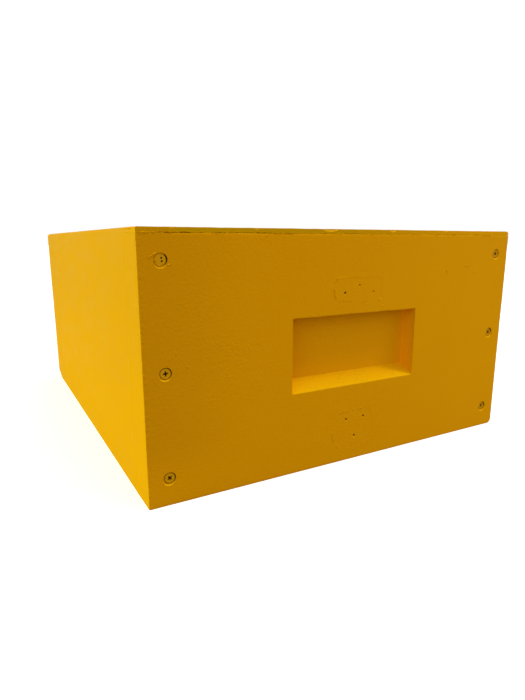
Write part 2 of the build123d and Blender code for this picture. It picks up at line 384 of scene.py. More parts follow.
    def apply(self, kind: str, **settings: object) -> None:
        """Adds a modifier with these settings and applies it.

        Args:
            kind: the modifier's kind, in Blender's own word.
            settings: its settings.
        """
        self.take()
        modifier = self.object.modifiers.new(kind.lower(), kind)
        for name, value in settings.items():
            setattr(modifier, name, value)
        bpy.ops.object.modifier_apply(modifier=modifier.name)

    def ease(self, width: float, segments: int = 2) -> None:
        """Takes the sharpness off every sharp edge."""
        angle = math.radians(SHARP)
        self.apply("BEVEL", width=width, segments=segments, limit_method="ANGLE", angle_limit=angle)

    def carve(self, cutter: "Workpiece") -> None:
        """Cuts another workpiece out of this one and throws it away."""
        self.apply("BOOLEAN", operation="DIFFERENCE", solver="EXACT", object=cutter.object)
        cutter.discard()

    def carve_all(self, cutters: list["Workpiece"]) -> None:
        """Cuts several workpieces out of this one at once."""
        cutters[0].join(cutters[1:])
        self.carve(cutters[0])

    def weigh(self, name: str, weight: Callable[[Vector], float]) -> None:
        """Weighs each point, for a modifier that works on part of the mesh.

        Args:
            name: name of the weights.
            weight: takes a point's place and gives 0 to 1.
        """
        group = self.object.vertex_groups.new(name=name)
        for point in self.object.data.vertices:
            group.add([point.index], weight(point.co), "REPLACE")

    def mark(self, name: str, share: Callable[[Vector], float]) -> None:
        """Marks each point with a share from 0 to 1, for a finish to read.

        Args:
            name: name of the mark.
            share: takes a point's place and gives 0 to 1.
        """
        mesh = self.object.data
        marks = mesh.attributes.new(name, "FLOAT", "POINT")
        for point, mark in zip(mesh.vertices, marks.data):
            mark.value = share(point.co)

    def ripple(self, size: float, height: float, direction: str = "NORMAL", weights: str = "") -> None:
        """Roughens the mesh with cloudy unevenness.

        Args:
            size: size of the lumps.
            height: from the lowest hollow to the highest lump.
            direction: which way points move, in the modifier's own word.
            weights: weights that say where it works, or all over.
        """
        clouds = bpy.data.textures.new(f"{self.object.name}_clouds", "CLOUDS")
        clouds.noise_scale = size
        self.apply(
            "DISPLACE",
            texture=clouds,
            texture_coords="LOCAL",
            strength=height,
            mid_level=0.5,
            direction=direction,
            vertex_group=weights,
        )
        bpy.data.textures.remove(clouds)

    def join(self, others: list["Workpiece"]) -> None:
        """Takes other workpieces into this mesh.

        Args:
            others: the workpieces.
        """
        self.take()
        for other in others:
            other.object.select_set(True)
        bpy.ops.object.join()

    def copy(self, name: str, step: Vector) -> "Workpiece":
        """Copies the piece with its own mesh.

        Args:
            name: the copy's name.
            step: how far the copy is moved.

        Returns:
            The copy.
        """
        self.take()
        bpy.ops.object.duplicate(linked=False)
        bpy.ops.transform.translate(value=step)
        return Workpiece(name)

    def discard(self) -> None:
        """Throws the workpiece away."""
        bpy.data.objects.remove(self.object)

    def trim(self, at: Vector, outwards: Vector, fill: bool = True) -> None:
        """Cuts off what lies beyond a plane.

        Args:
            at: a place on the plane.
            outwards: its normal, towards what goes.
            fill: whether the cut is closed with a face.
        """
        with self.edit():
            bpy.ops.mesh.select_all(action="SELECT")
            bpy.ops.mesh.bisect(plane_co=at, plane_no=outwards, use_fill=fill, clear_outer=True)

    def spin_in_place(self, about: Vector, degrees: float) -> None:
        """Turns the piece about a line along Y.

        Args:
            about: a place on the line.
            degrees: how far it turns.
        """
        self.take()
        bpy.ops.transform.rotate(value=math.radians(degrees), orient_axis="Y", center_override=about)
        bpy.ops.object.transform_apply(location=True, rotation=True, scale=True)

    def turn_to_rear(self) -> None:
        """Turns the piece half round, from the front of the body to the rear."""
        self.take()
        bpy.ops.transform.rotate(value=math.pi, orient_axis="Z", center_override=(0.0, 0.0, 0.0))
        bpy.ops.object.transform_apply(location=True, rotation=True, scale=True)

    def face_outwards(self) -> None:
        """Merges doubled points and points every face outwards."""
        with self.edit():
            bpy.ops.mesh.select_all(action="SELECT")
            bpy.ops.mesh.remove_doubles(threshold=MM / 100)
            bpy.ops.mesh.normals_make_consistent(inside=False)

    def smooth(self, degrees: float = 35.0) -> None:
        """Shades the mesh smooth, apart from edges sharper than an angle."""
        self.take()
        bpy.ops.object.shade_smooth_by_angle(angle=math.radians(degrees))

    def thicken(self, radius: float, seed: int, spread: float) -> None:
        """Turns a line of edges into an uneven bead of paint that thins out at its ends.

        Args:
            radius: radius of the bead.
            seed: seed of its unevenness.
            spread: share of the radius that the bead swells and thins by.
        """
        self.take()
        bpy.ops.object.convert(target="CURVE")
        line = self.object.data
        line.bevel_depth = radius
        line.bevel_resolution = 1
        line.use_fill_caps = True
        chance = random.Random(seed)
        for spline in line.splines:
            count = len(spline.points)
            for number, point in enumerate(spline.points):
                taper = math.sqrt(math.sin(math.pi * (number + 0.5) / count))
                point.radius = taper * (1.0 + spread * chance.uniform(-1.0, 1.0))
        bpy.ops.object.convert(target="MESH")
        self.face_outwards()

    def hand_over(self, material: bpy.types.Material, body: str, slot: str, *nodes: str) -> None:
        """Dresses the finished piece and sets it on its body.

        Args:
            material: its finish.
            body: the body it moves with.
            slot: the record's slot that the finish belongs to; not used.
            nodes: CAD nodes that the piece stands for.
        """
        self.object.data.materials.clear()
        self.object.data.materials.append(material)
        self.object.vertex_groups.clear()
        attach(self.object, body)
        if nodes:
            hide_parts(*nodes)
        log.info("%s: %d faces on %s", self.object.name, len(self.object.data.polygons), body)


def dress_node(node: str, material: bpy.types.Material) -> None:
    """Gives a CAD node that keeps its shape its finish.

    Args:
        node: the node.
        material: its finish.
    """
    mesh = frame["nodes"][node].data
    mesh.materials.clear()
    mesh.materials.append(material)
    log.info("%s: keeps its CAD shape", node)


# Shared surface effects


class Graph:
    """A node tree, with short ways to add and join its nodes."""

    def __init__(self, tree: bpy.types.NodeTree) -> None:
        """Takes up a tree."""
        self.tree = tree

    def feed(self, socket: bpy.types.NodeSocket, value: Value) -> None:
        """Links a socket, or sets its own value.

        Args:
            socket: the socket.
            value: what to link it to, or its value.
        """
        if isinstance(value, bpy.types.NodeSocket):
            self.tree.links.new(value, socket)
        elif socket.type == "RGBA":
            socket.default_value = (*value, 1.0)
        else:
            socket.default_value = value

    def add(self, kind: str, inputs: dict[str, Value] | None = None, **settings: object) -> bpy.types.Node:
        """Adds a node.

        Args:
            kind: the node's type.
            inputs: what its named sockets take.
            settings: its own settings.

        Returns:
            The node.
        """
        node = self.tree.nodes.new(kind)
        for name, value in settings.items():
            setattr(node, name, value)
        for name, value in (inputs or {}).items():
            self.feed(node.inputs[name], value)
        return node

    def place(self) -> Outlet:
        """Place on the object, in metres."""
        return self.add("ShaderNodeTexCoord").outputs["Object"]

    def tagged(self, name: str) -> Outlet:
        """Share from 0 to 1 that is marked on the mesh under a name."""
        return self.add("ShaderNodeAttribute", attribute_name=name).outputs["Fac"]

    def facing(self) -> Outlets:
        """Direction that the surface faces, as sockets X, Y and Z."""
        return self.parts(self.add("ShaderNodeNewGeometry").outputs["Normal"])

    def parts(self, vector: Value) -> Outlets:
        """The three parts of a vector, as sockets X, Y and Z."""
        return self.add("ShaderNodeSeparateXYZ", {"Vector": vector}).outputs

    def math(self, operation: str, first: Value, second: Value = 0.0) -> Outlet:
        """One sum on one or two values.

        Args:
            operation: the sum, in the node's own word.
            first: first value.
            second: second value, if the sum takes one.

        Returns:
            The result.
        """
        node = self.add("ShaderNodeMath", operation=operation)
        self.feed(node.inputs[0], first)
        self.feed(node.inputs[1], second)
        return node.outputs[0]

    def total(self, *weighted: tuple[Value, float]) -> Outlet:
        """Sum of values, each times its own weight.

        Args:
            weighted: each value with its weight.

        Returns:
            The sum.
        """
        parts = [self.math("MULTIPLY", value, weight) for value, weight in weighted]
        for part in parts[1:]:
            parts[0] = self.math("ADD", parts[0], part)
        return parts[0]

    def ramp(self, value: Value, start: float, stop: float, low: float = 0.0, high: float = 1.0) -> Outlet:
        """Eases from low to high while a value goes from start to stop."""
        inputs = {"Value": value, "From Min": start, "From Max": stop, "To Min": low, "To Max": high}
        return self.add("ShaderNodeMapRange", inputs, interpolation_type="SMOOTHSTEP").outputs[0]

    def mix(self, share: Value, first: Value, second: Value) -> Outlet:
        """Blends two colours by a share from 0 to 1.

        Args:
            share: share of the second.
            first: the first.
            second: the second.

        Returns:
            The blend.
        """
        node = self.add("ShaderNodeMix", data_type="RGBA")
        for index, value in ((0, share), (6, first), (7, second)):
            self.feed(node.inputs[index], value)
        return node.outputs[2]

    def blend(self, share: Value, first: Value, second: Value) -> Outlet:
        """Blends two numbers by a share from 0 to 1.

        Args:
            share: share of the second.
            first: the first.
            second: the second.

        Returns:
            The blend.
        """
        node = self.add("ShaderNodeMix", data_type="FLOAT")
        for index, value in ((0, share), (2, first), (3, second)):
            self.feed(node.inputs[index], value)
        return node.outputs[0]

    def noise(self, vector: Value, scale: float, detail: float = 2.0) -> Outlet:
        """Cloudy noise from 0 to 1, with this many lumps to a metre."""
        inputs = {"Vector": vector, "Scale": scale, "Detail": detail}
        return self.add("ShaderNodeTexNoise", inputs).outputs["Fac"]

    def cells(self, vector: Value, scale: Value, feature: str = "F1") -> Outlets:
        """Packed cells, this many to a metre."""
        return self.add("ShaderNodeTexVoronoi", {"Vector": vector, "Scale": scale}, feature=feature).outputs

    def stretch(self, vector: Value, factors: Triple) -> Outlet:
        """Scales a place differently along each axis."""
        return self.add("ShaderNodeMapping", {"Vector": vector, "Scale": factors}).outputs["Vector"]

    def surface(
        self,
        colour: Value,
        roughness: Value,
        height: Outlet,
        metallic: Value = 0.0,
        specular: float = 0.5,
        tint: Colour = (1.0, 1.0, 1.0),
    ) -> bpy.types.Node:
        """Finishes a material with its shader and its relief.

        Args:
            colour: base colour.
            roughness: roughness.
            height: relief, in millimetres.
            metallic: share of bare metal.
            specular: strength of the gloss.
            tint: colour of the gloss.

        Returns:
            The shader.
        """
        bump = self.add("ShaderNodeBump", {"Height": height, "Distance": MM, "Strength": 1.0})
        inputs = {
            "Base Color": colour,
            "Roughness": roughness,
            "Metallic": metallic,
            "Specular IOR Level": specular,
            "Normal": bump.outputs["Normal"],
        }
        shader = self.add("ShaderNodeBsdfPrincipled", inputs)
        shader.inputs["Specular Tint"].default_value = (*tint, 1.0)
        output = self.add("ShaderNodeOutputMaterial")
        self.feed(output.inputs["Surface"], shader.outputs["BSDF"])
        return shader


class Effect:
    """A surface effect for finishes to share: a node group, built once."""

    name: str
    inputs: dict[str, Socket]
    outputs: dict[str, Socket]

    def wire(self, graph: Graph, given: Outlets) -> dict[str, Outlet]:
        """Builds the inside of the group.

        Args:
            graph: the group's own tree.
            given: the group's inputs.

        Returns:
            What each of the group's outputs gives.
        """
        raise NotImplementedError

    def tree(self) -> bpy.types.NodeTree:
        """The group, made on its first use.

        Returns:
            The group's tree.
        """
        tree = bpy.data.node_groups.get(self.name)
        if tree is None:
            tree = bpy.data.node_groups.new(self.name, "ShaderNodeTree")
            for name, kind in self.inputs.items():
                tree.interface.new_socket(name, in_out="INPUT", socket_type=kind.value)
            for name, kind in self.outputs.items():
                tree.interface.new_socket(name, in_out="OUTPUT", socket_type=kind.value)
            graph = Graph(tree)
            made = self.wire(graph, graph.add("NodeGroupInput").outputs)
            graph.add("NodeGroupOutput", made)
        return tree

    def use(self, graph: Graph, **values: Value) -> Outlets:
        """Places the group in a finish with that finish's own values."""
        return graph.add("ShaderNodeGroup", values, node_tree=self.tree()).outputs


class PaintFilm(Effect):
    """Brushed satin paint: soft blotches of colour, orange peel and faint sags, in lumps to a metre."""

    name = "paint_film"
    inputs = {"Place": Socket.VECTOR, "Paint": Socket.COLOUR, "Shade": Socket.COLOUR}
    outputs = {"Color": Socket.COLOUR, "Roughness": Socket.VALUE, "Height": Socket.VALUE}
    brushing: Triple = (1.0, 0.3, 1.0)
    sagging: Triple = (1.0, 1.0, 0.35)
    blotches: float = 14.0
    blotch_share: float = 0.14
    peel: float = 520.0
    peel_height: float = 0.30
    sags: float = 110.0
    sag_height: float = 0.03
    dull_patches: float = 60.0
    glossiest: float = 0.42
    dullest: float = 0.6

    def wire(self, graph: Graph, given: Outlets) -> dict[str, Outlet]:
        """Builds the inside of the group.

        Args:
            graph: the group's own tree.
            given: the group's inputs.

        Returns:
            What each of the group's outputs gives.
        """
        place = graph.stretch(given["Place"], self.brushing)
        blotch = graph.ramp(graph.noise(place, self.blotches, 4.0), 0.35, 0.75, 0.0, self.blotch_share)
        colour = graph.mix(blotch, given["Paint"], given["Shade"])
        peel = graph.noise(place, self.peel, 3.0)
        sags = graph.noise(graph.stretch(place, self.sagging), self.sags)
        height = graph.total((peel, self.peel_height), (sags, self.sag_height))
        dull = graph.noise(place, self.dull_patches, 3.0)
        roughness = graph.ramp(dull, 0.25, 0.75, self.glossiest, self.dullest)
        return {"Color": colour, "Roughness": roughness, "Height": height}


class FoamBeads(Effect):
    """Moulded foam beads: rounded cells with fine seams, as relief and as masks."""

    name = "foam_beads"
    inputs = {"Place": Socket.VECTOR, "Cells": Socket.VALUE}
    outputs = {"Height": Socket.VALUE, "Seams": Socket.VALUE, "Patches": Socket.VALUE}
    bead_edge: float = 0.75
    seam_edge: float = 0.09
    seam_core: float = 0.02
    patches: float = 13.0

    def wire(self, graph: Graph, given: Outlets) -> dict[str, Outlet]:
        """Builds the inside of the group.

        Args:
            graph: the group's own tree.
            given: the group's inputs.

        Returns:
            What each of the group's outputs gives.
        """
        centres = graph.cells(given["Place"], given["Cells"])["Distance"]
        edges = graph.cells(given["Place"], given["Cells"], "DISTANCE_TO_EDGE")["Distance"]
        dome = graph.ramp(centres, self.bead_edge, 0.0)
        seams = graph.ramp(edges, self.seam_edge, self.seam_core)
        patches = graph.ramp(graph.noise(given["Place"], self.patches), 0.5, 0.68)
        return {"Height": dome, "Seams": seams, "Patches": patches}


class Specks(Effect):
    """Scattered specks of dust and dirt, in drifts."""

    name = "specks"
    inputs = {"Place": Socket.VECTOR, "Cells": Socket.VALUE}
    outputs = {"Mask": Socket.VALUE}
    speck_edge: float = 0.2
    speck_core: float = 0.12
    drifts: float = 45.0

    def wire(self, graph: Graph, given: Outlets) -> dict[str, Outlet]:
        """Builds the inside of the group.

        Args:
            graph: the group's own tree.
            given: the group's inputs.

        Returns:
            What each of the group's outputs gives.
        """
        centres = graph.cells(given["Place"], given["Cells"])["Distance"]
        specks = graph.ramp(centres, self.speck_edge, self.speck_core)
        drift = graph.ramp(graph.noise(given["Place"], self.drifts, 3.0), 0.45, 0.62)
        return {"Mask": graph.math("MULTIPLY", specks, drift)}


class WoodGrain(Effect):
    """Planed pine with its grain along the first axis of the place it is given."""

    name = "wood_grain"
    inputs = {"Place": Socket.VECTOR}
    outputs = {"Bands": Socket.VALUE, "Fibres": Socket.VALUE, "Stain": Socket.VALUE}
    ring_stretch: Triple = (4.0, 45.0, 45.0)
    rings: float = 9.0
    fibre_stretch: Triple = (30.0, 1600.0, 1600.0)
    stains: float = 22.0

    def wire(self, graph: Graph, given: Outlets) -> dict[str, Outlet]:
        """Builds the inside of the group.

        Args:
            graph: the group's own tree.
            given: the group's inputs.

        Returns:
            What each of the group's outputs gives.
        """
        bent = graph.noise(graph.stretch(given["Place"], self.ring_stretch), 1.0)
        bands = graph.math("FRACT", graph.math("MULTIPLY", bent, self.rings))
        fibres = graph.noise(graph.stretch(given["Place"], self.fibre_stretch), 1.0)
        stain = graph.ramp(graph.noise(given["Place"], self.stains, 4.0), 0.5, 0.72)
        return {"Bands": graph.ramp(bands, 0.1, 0.95), "Fibres": fibres, "Stain": stain}


# Finishes


class Finish:
    """A surface finish, made into a material once."""

    def material(self) -> bpy.types.Material:
        """Makes the material, named after the finish.

        Returns:
            The material.
        """
        made = bpy.data.materials.new(type(self).__name__)
        made.use_nodes = True
        made.node_tree.nodes.clear()
        self.wire(Graph(made.node_tree))
        return made

    def wire(self, graph: Graph) -> None:
        """Builds the finish in its material's own tree."""
        raise NotImplementedError


@dataclass(frozen=True)
class PaintedFoam(Finish):
    """Golden satin paint on bead foam, with the foam bare and white on the inside."""

    paint: Colour = (0.75, 0.346, 0.0010)
    # Painted shade: the ends darker to the left and along their left edge; the sides lighter towards the
    # floor.
    dulled: Colour = (0.685, 0.302, 0.0010)
    left_edge: Colour = (0.617, 0.270, 0.0010)
    side_shaded_top: Colour = (0.642, 0.290, 0.0010)
    side_lit_foot: Colour = (0.750, 0.338, 0.0006)
    shade: Colour = (0.68, 0.305, 0.0008)
    dirt: Colour = (0.22, 0.10, 0.004)
    bare: Colour = (0.80, 0.79, 0.75)
    bare_seam: Colour = (0.60, 0.58, 0.53)
    # Colour of the painted top light on faces that look up.
    top_lit: Colour = (0.84, 0.455, 0.0012)
    # Colour of the painted bounce light inside the hand pocket.
    pocket_bounce_colour: Colour = (0.88, 0.375, 0.0010)
    # Near-black colour of the painted shade in the recesses and holes.
    hollow: Colour = (0.035, 0.015, 0.001)
    gloss: Colour = (1.0, 0.55, 0.05)
    shine: float = 0.01
    bead: float = 3.0 * MM
    bare_bead_height: float = 0.35
    bead_height: float = 0.2
    bead_share: float = 0.6
    specks: float = 420.0
    rough_at: Triple = (-150.0 * MM, CAD_LOW.y, 118.0 * MM)
    rough_reach: Triple = (75.0 * MM, 20.0 * MM, 48.0 * MM)
    rough_lumps: float = 60.0
    rough_left: float = -30.0 * MM
    smooth_right: float = 100.0 * MM
    smooth_share: float = 0.4
    side_share: float = 0.3
    paint_reach: float = 26.0 * MM
    paint_edge: float = 1.0 * MM
    paint_waver: float = 5.0 * MM
    waver_lumps: float = 35.0
    lip_light_reach: float = 18.0 * MM
    edge_reach: float = 110.0 * MM
    edge_foot: tuple[float, float] = (16.5 * MM, 66.0 * MM)

    def wire(self, graph: Graph) -> None:
        """Builds the finish in its material's own tree.

        Args:
            graph: the material's own tree.
        """
        place = graph.place()
        parts = graph.parts(place)
        film = PaintFilm().use(graph, Place=place, Paint=self.coat(graph, parts), Shade=self.shade)
        beads = FoamBeads().use(graph, Place=place, Cells=1.0 / self.bead)
        painted = self.paint_mask(graph, place)
        foam = graph.mix(beads["Seams"], self.bare, self.bare_seam)
        colour = graph.mix(painted, foam, self.weather(graph, place, film["Color"]))
        faint = graph.math("MULTIPLY", beads["Patches"], self.bead_share)
        patches = graph.math("MAXIMUM", faint, self.rough_patch(graph, place))
        telegraphed = graph.math("MULTIPLY", beads["Height"], patches)
        on_paint = graph.total((film["Height"], 1.0), (telegraphed, self.bead_height))
        on_paint = graph.math("MULTIPLY", on_paint, self.coarseness(graph, parts["X"]))
        on_foam = graph.math("MULTIPLY", beads["Height"], self.bare_bead_height)
        height = graph.blend(painted, on_foam, on_paint)
        graph.surface(colour, film["Roughness"], height, specular=self.shine, tint=self.gloss)

    def coat(self, graph: Graph, parts: Outlets) -> Outlet:
        """Colour of the paint before wear, with painted light and shade.

        Args:
            graph: the material's tree.
            parts: the place on the piece, by axis.

        Returns:
            The colour: painted shade to the left of the ends and along their left edge, and painted light
                towards
            the floor on the sides.
        """
        ends = graph.mix(graph.ramp(parts["X"], CAD_LOW.x, CAD_HIGH.x), self.dulled, self.paint)
        near_edge = graph.ramp(parts["X"], CAD_LOW.x + self.edge_reach, CAD_LOW.x)
        off_floor = graph.ramp(parts["Z"], *self.edge_foot)
        ends = graph.mix(graph.math("MULTIPLY", near_edge, off_floor), ends, self.left_edge)
        sides = graph.mix(graph.ramp(parts["Z"], CAD_LOW.z, CAD_HIGH.z), self.side_lit_foot, self.side_shaded_top)
        return graph.mix(self.on_side(graph), ends, sides)

    def weather(self, graph: Graph, place: Outlet, paint: Value) -> Outlet:
        """Wears the paint, and paints light and shade onto it.

        Args:
            graph: the material's tree.
            place: the place on the piece.
            paint: the paint's colour before wear.

        Returns:
            The colour: painted bounce light in the pocket; dust, and painted top light that is strongest
                towards
            the outer face, where it faces up; painted shade in the holes.
        """
        # Painted top light on upward faces, strongest towards the outer face, such as on the pocket floor.
        up = graph.ramp(graph.facing()["Z"], 0.3, 0.8)
        outer = graph.math("ABSOLUTE", graph.parts(place)["Y"])
        lip_light = graph.ramp(outer, CAD_HIGH.y - self.lip_light_reach, CAD_HIGH.y, 0.5, 1.0)
        specks = Specks().use(graph, Place=place, Cells=self.specks)["Mask"]
        # Painted bounce light inside the hand pocket.
        paint = graph.mix(graph.tagged("pocket_bounce"), paint, self.pocket_bounce_colour)
        paint = graph.mix(graph.math("MULTIPLY", up, lip_light), paint, self.top_lit)
        paint = graph.mix(graph.math("MULTIPLY", specks, up), paint, self.dirt)
        # Painted shade inside the screw recesses and the clip holes.
        return graph.mix(graph.tagged("painted_shade"), paint, self.hollow)

    def on_side(self, graph: Graph, low: float = 0.0, high: float = 1.0) -> Outlet:
        """Goes from low on the ends of the body to high on its sides."""
        return graph.ramp(graph.math("ABSOLUTE", graph.facing()["X"]), 0.5, 0.9, low, high)

    def coarseness(self, graph: Graph, across: Outlet) -> Outlet:
        """Share of the full relief: all on the left of the ends, less to the right and on the sides."""
        leftwards = graph.ramp(across, self.smooth_right, self.rough_left, self.smooth_share, 1.0)
        return graph.math("MULTIPLY", leftwards, self.on_side(graph, 1.0, self.side_share))

    def rough_patch(self, graph: Graph, place: Outlet) -> Outlet:
        """Share of the patch beside the front pocket where the beads show most.

        Args:
            graph: the material's own tree.
            place: the place on the piece.

        Returns:
            The share, from 0 to 1.
        """
        closer = tuple(1.0 / reach for reach in self.rough_reach)
        centre = tuple(at * factor for at, factor in zip(self.rough_at, closer))
        away = graph.add("ShaderNodeVectorMath", operation="DISTANCE")
        graph.feed(away.inputs[0], graph.stretch(place, closer))
        graph.feed(away.inputs[1], centre)
        broken = graph.ramp(graph.noise(place, self.rough_lumps), 0.42, 0.62)
        return graph.math("MULTIPLY", graph.ramp(away.outputs["Value"], 1.0, 0.5), broken)

    def paint_mask(self, graph: Graph, place: Outlet) -> Outlet:
        """Share of paint: all over the outside, and in over the rims to a wavering edge.

        Args:
            graph: the material's own tree.
            place: the place on the piece.

        Returns:
            The share, from 0 to 1.
        """
        parts = graph.parts(place)
        depths = []
        for name, half in (("X", CAD_HIGH.x), ("Y", CAD_HIGH.y)):
            depths.append(graph.math("SUBTRACT", half, graph.math("ABSOLUTE", parts[name])))
        depth = graph.math("MINIMUM", *depths)
        waver = graph.math("MULTIPLY", graph.noise(place, self.waver_lumps, 4.0), self.paint_waver)
        reach = self.paint_reach
        return graph.ramp(graph.math("ADD", depth, waver), reach + self.paint_edge, reach)


@dataclass(frozen=True)
class PaintedStrip(Finish):
    """The same paint on a thin wooden strip, darker and olive towards the left and along the top."""

    paint: Colour = (0.76, 0.362, 0.0010)
    dulled: Colour = (0.69, 0.312, 0.0010)
    olive: Colour = (0.545, 0.295, 0.0010)
    olive_end: Colour = (0.578, 0.276, 0.0010)
    # Colour of the painted top light on the strip's upward faces.
    top_lit: Colour = (0.80, 0.42, 0.004)
    dirt: Colour = (0.20, 0.11, 0.01)
    # Near-black colour of the painted shade in the seam under the strip.
    hollow: Colour = (0.08, 0.035, 0.001)
    gloss: Colour = (1.0, 0.55, 0.05)
    shine: float = 0.01
    olive_left: float = -50.0 * MM
    olive_right: float = 240.0 * MM
    olive_waver: float = 100.0 * MM
    olive_lumps: float = 30.0
    olive_reach: float = 5.5 * MM
    olive_least: float = 0.45
    end_reach: tuple[float, float] = (25.0 * MM, 40.0 * MM)
    specks: float = 300.0
    speck_share: float = 0.5
    seam_lumps: float = 90.0
    fibre_height: float = 0.08

    def wire(self, graph: Graph) -> None:
        """Builds the finish in its material's own tree.

        Args:
            graph: the material's own tree.
        """
        place = graph.place()
        across = graph.parts(place)["X"]
        # Painted shade towards the left, as on the panels.
        coat = graph.mix(graph.ramp(across, CAD_LOW.x, CAD_HIGH.x), self.dulled, self.paint)
        film = PaintFilm().use(graph, Place=place, Paint=coat, Shade=coat)
        near, far = self.end_reach
        off_end = graph.ramp(across, CAD_LOW.x + near, CAD_LOW.x + far)
        olive = graph.mix(off_end, self.olive_end, self.olive)
        colour = graph.mix(self.olive_share(graph, place), film["Color"], olive)
        # Painted top light on faces that look up, such as the chips.
        colour = graph.mix(graph.ramp(graph.facing()["Z"], 0.5, 0.85), colour, self.top_lit)
        specks = Specks().use(graph, Place=place, Cells=self.specks)["Mask"]
        colour = graph.mix(graph.math("MULTIPLY", specks, self.speck_share), colour, self.dirt)
        # Painted shade in the seam under the strip, broken into runs.
        broken = graph.ramp(graph.noise(place, self.seam_lumps, 4.0), 0.42, 0.54)
        seam = graph.math("MULTIPLY", graph.tagged("painted_shade"), broken)
        colour = graph.mix(seam, colour, self.hollow)
        grain = WoodGrain().use(graph, Place=place)
        height = graph.total((film["Height"], 1.0), (grain["Fibres"], self.fibre_height))
        graph.surface(colour, film["Roughness"], height, specular=self.shine, tint=self.gloss)

    def olive_share(self, graph: Graph, place: Outlet) -> Outlet:
        """Share of olive in the paint: most at the left and along the top, none on the strip's ends.

        Args:
            graph: the material's own tree.
            place: the place on the piece.

        Returns:
            The share, from 0 to 1.
        """
        parts = graph.parts(place)
        waver = graph.math("MULTIPLY", graph.noise(place, self.olive_lumps), self.olive_waver)
        leftwards = graph.ramp(graph.math("ADD", parts["X"], waver), self.olive_right, self.olive_left)
        off_ends = graph.ramp(graph.math("ABSOLUTE", graph.facing()["X"]), 0.7, 0.4)
        down = graph.math("SUBTRACT", CAD_HIGH.z, parts["Z"])
        upper = graph.ramp(down, self.olive_reach, self.olive_reach / 2, self.olive_least, 1.0)
        return graph.math("MULTIPLY", graph.math("MULTIPLY", leftwards, off_ends), upper)


@dataclass(frozen=True)
class PaintedScrew(Finish):
    """Zinc-plated steel under a thin coat of the panel's paint, rubbed through in places."""

    paint: Colour = (0.60, 0.29, 0.0015)
    shade: Colour = (0.54, 0.26, 0.0012)
    zinc: Colour = (0.55, 0.48, 0.28)
    # Near-black colour of the painted shade in the slots and gaps round the heads.
    hollow: Colour = (0.03, 0.013, 0.001)
    gloss: Colour = (1.0, 0.75, 0.3)
    shine: float = 0.1
    rubs: float = 500.0
    bare_share: float = 0.8
    painted_roughness: float = 0.5
    bare_roughness: float = 0.35

    def wire(self, graph: Graph) -> None:
        """Builds the finish in its material's own tree.

        Args:
            graph: the material's own tree.
        """
        place = graph.place()
        film = PaintFilm().use(graph, Place=place, Paint=self.paint, Shade=self.shade)
        rubbed = graph.ramp(graph.noise(place, self.rubs, 3.0), 0.70, 0.76)
        colour = graph.mix(rubbed, film["Color"], self.zinc)
        # Painted shade in the cross slots and the gaps round the heads.
        colour = graph.mix(graph.tagged("painted_shade"), colour, self.hollow)
        roughness = graph.ramp(rubbed, 0.0, 1.0, self.painted_roughness, self.bare_roughness)
        metal = graph.math("MULTIPLY", rubbed, self.bare_share)
        height = film["Height"]
        graph.surface(colour, roughness, height, metallic=metal, specular=self.shine, tint=self.gloss)


@dataclass(frozen=True)
class GalvanisedSheet(Finish):
    """Dull zinc with the spangle of hot dipping and a bloom of white rust."""

    light: Colour = (0.62, 0.64, 0.66)
    dark: Colour = (0.47, 0.49, 0.52)
    bloom: Colour = (0.74, 0.74, 0.72)
    spangles: float = 160.0
    spangle_height: float = 0.01
    blooms: float = 260.0
    grain: float = 900.0
    grain_height: float = 0.02

    def wire(self, graph: Graph) -> None:
        """Builds the finish in its material's own tree.

        Args:
            graph: the material's own tree.
        """
        place = graph.place()
        spangle = graph.parts(graph.cells(place, self.spangles)["Color"])["X"]
        rust = Specks().use(graph, Place=place, Cells=self.blooms)["Mask"]
        colour = graph.mix(rust, graph.mix(spangle, self.dark, self.light), self.bloom)
        roughness = graph.ramp(spangle, 0.0, 1.0, 0.34, 0.5)
        metal = graph.ramp(rust, 0.0, 1.0, 0.95, 0.3)
        grain = graph.noise(place, self.grain)
        height = graph.total((spangle, self.spangle_height), (grain, self.grain_height))
        graph.surface(colour, roughness, height, metallic=metal)


@dataclass(frozen=True)
class NailSteel(Finish):
    """Galvanised nail heads, dark where the hammer struck."""

    zinc: Colour = (0.56, 0.57, 0.58)
    struck: Colour = (0.30, 0.30, 0.31)
    marks: float = 650.0
    mark_height: float = 0.06
    bare_share: float = 0.9

    def wire(self, graph: Graph) -> None:
        """Builds the finish in its material's own tree.

        Args:
            graph: the material's own tree.
        """
        marks = graph.noise(graph.place(), self.marks, 3.0)
        colour = graph.mix(graph.ramp(marks, 0.45, 0.65), self.zinc, self.struck)
        roughness = graph.ramp(marks, 0.3, 0.7, 0.35, 0.6)
        height = graph.math("MULTIPLY", marks, self.mark_height)
        graph.surface(colour, roughness, height, metallic=self.bare_share)


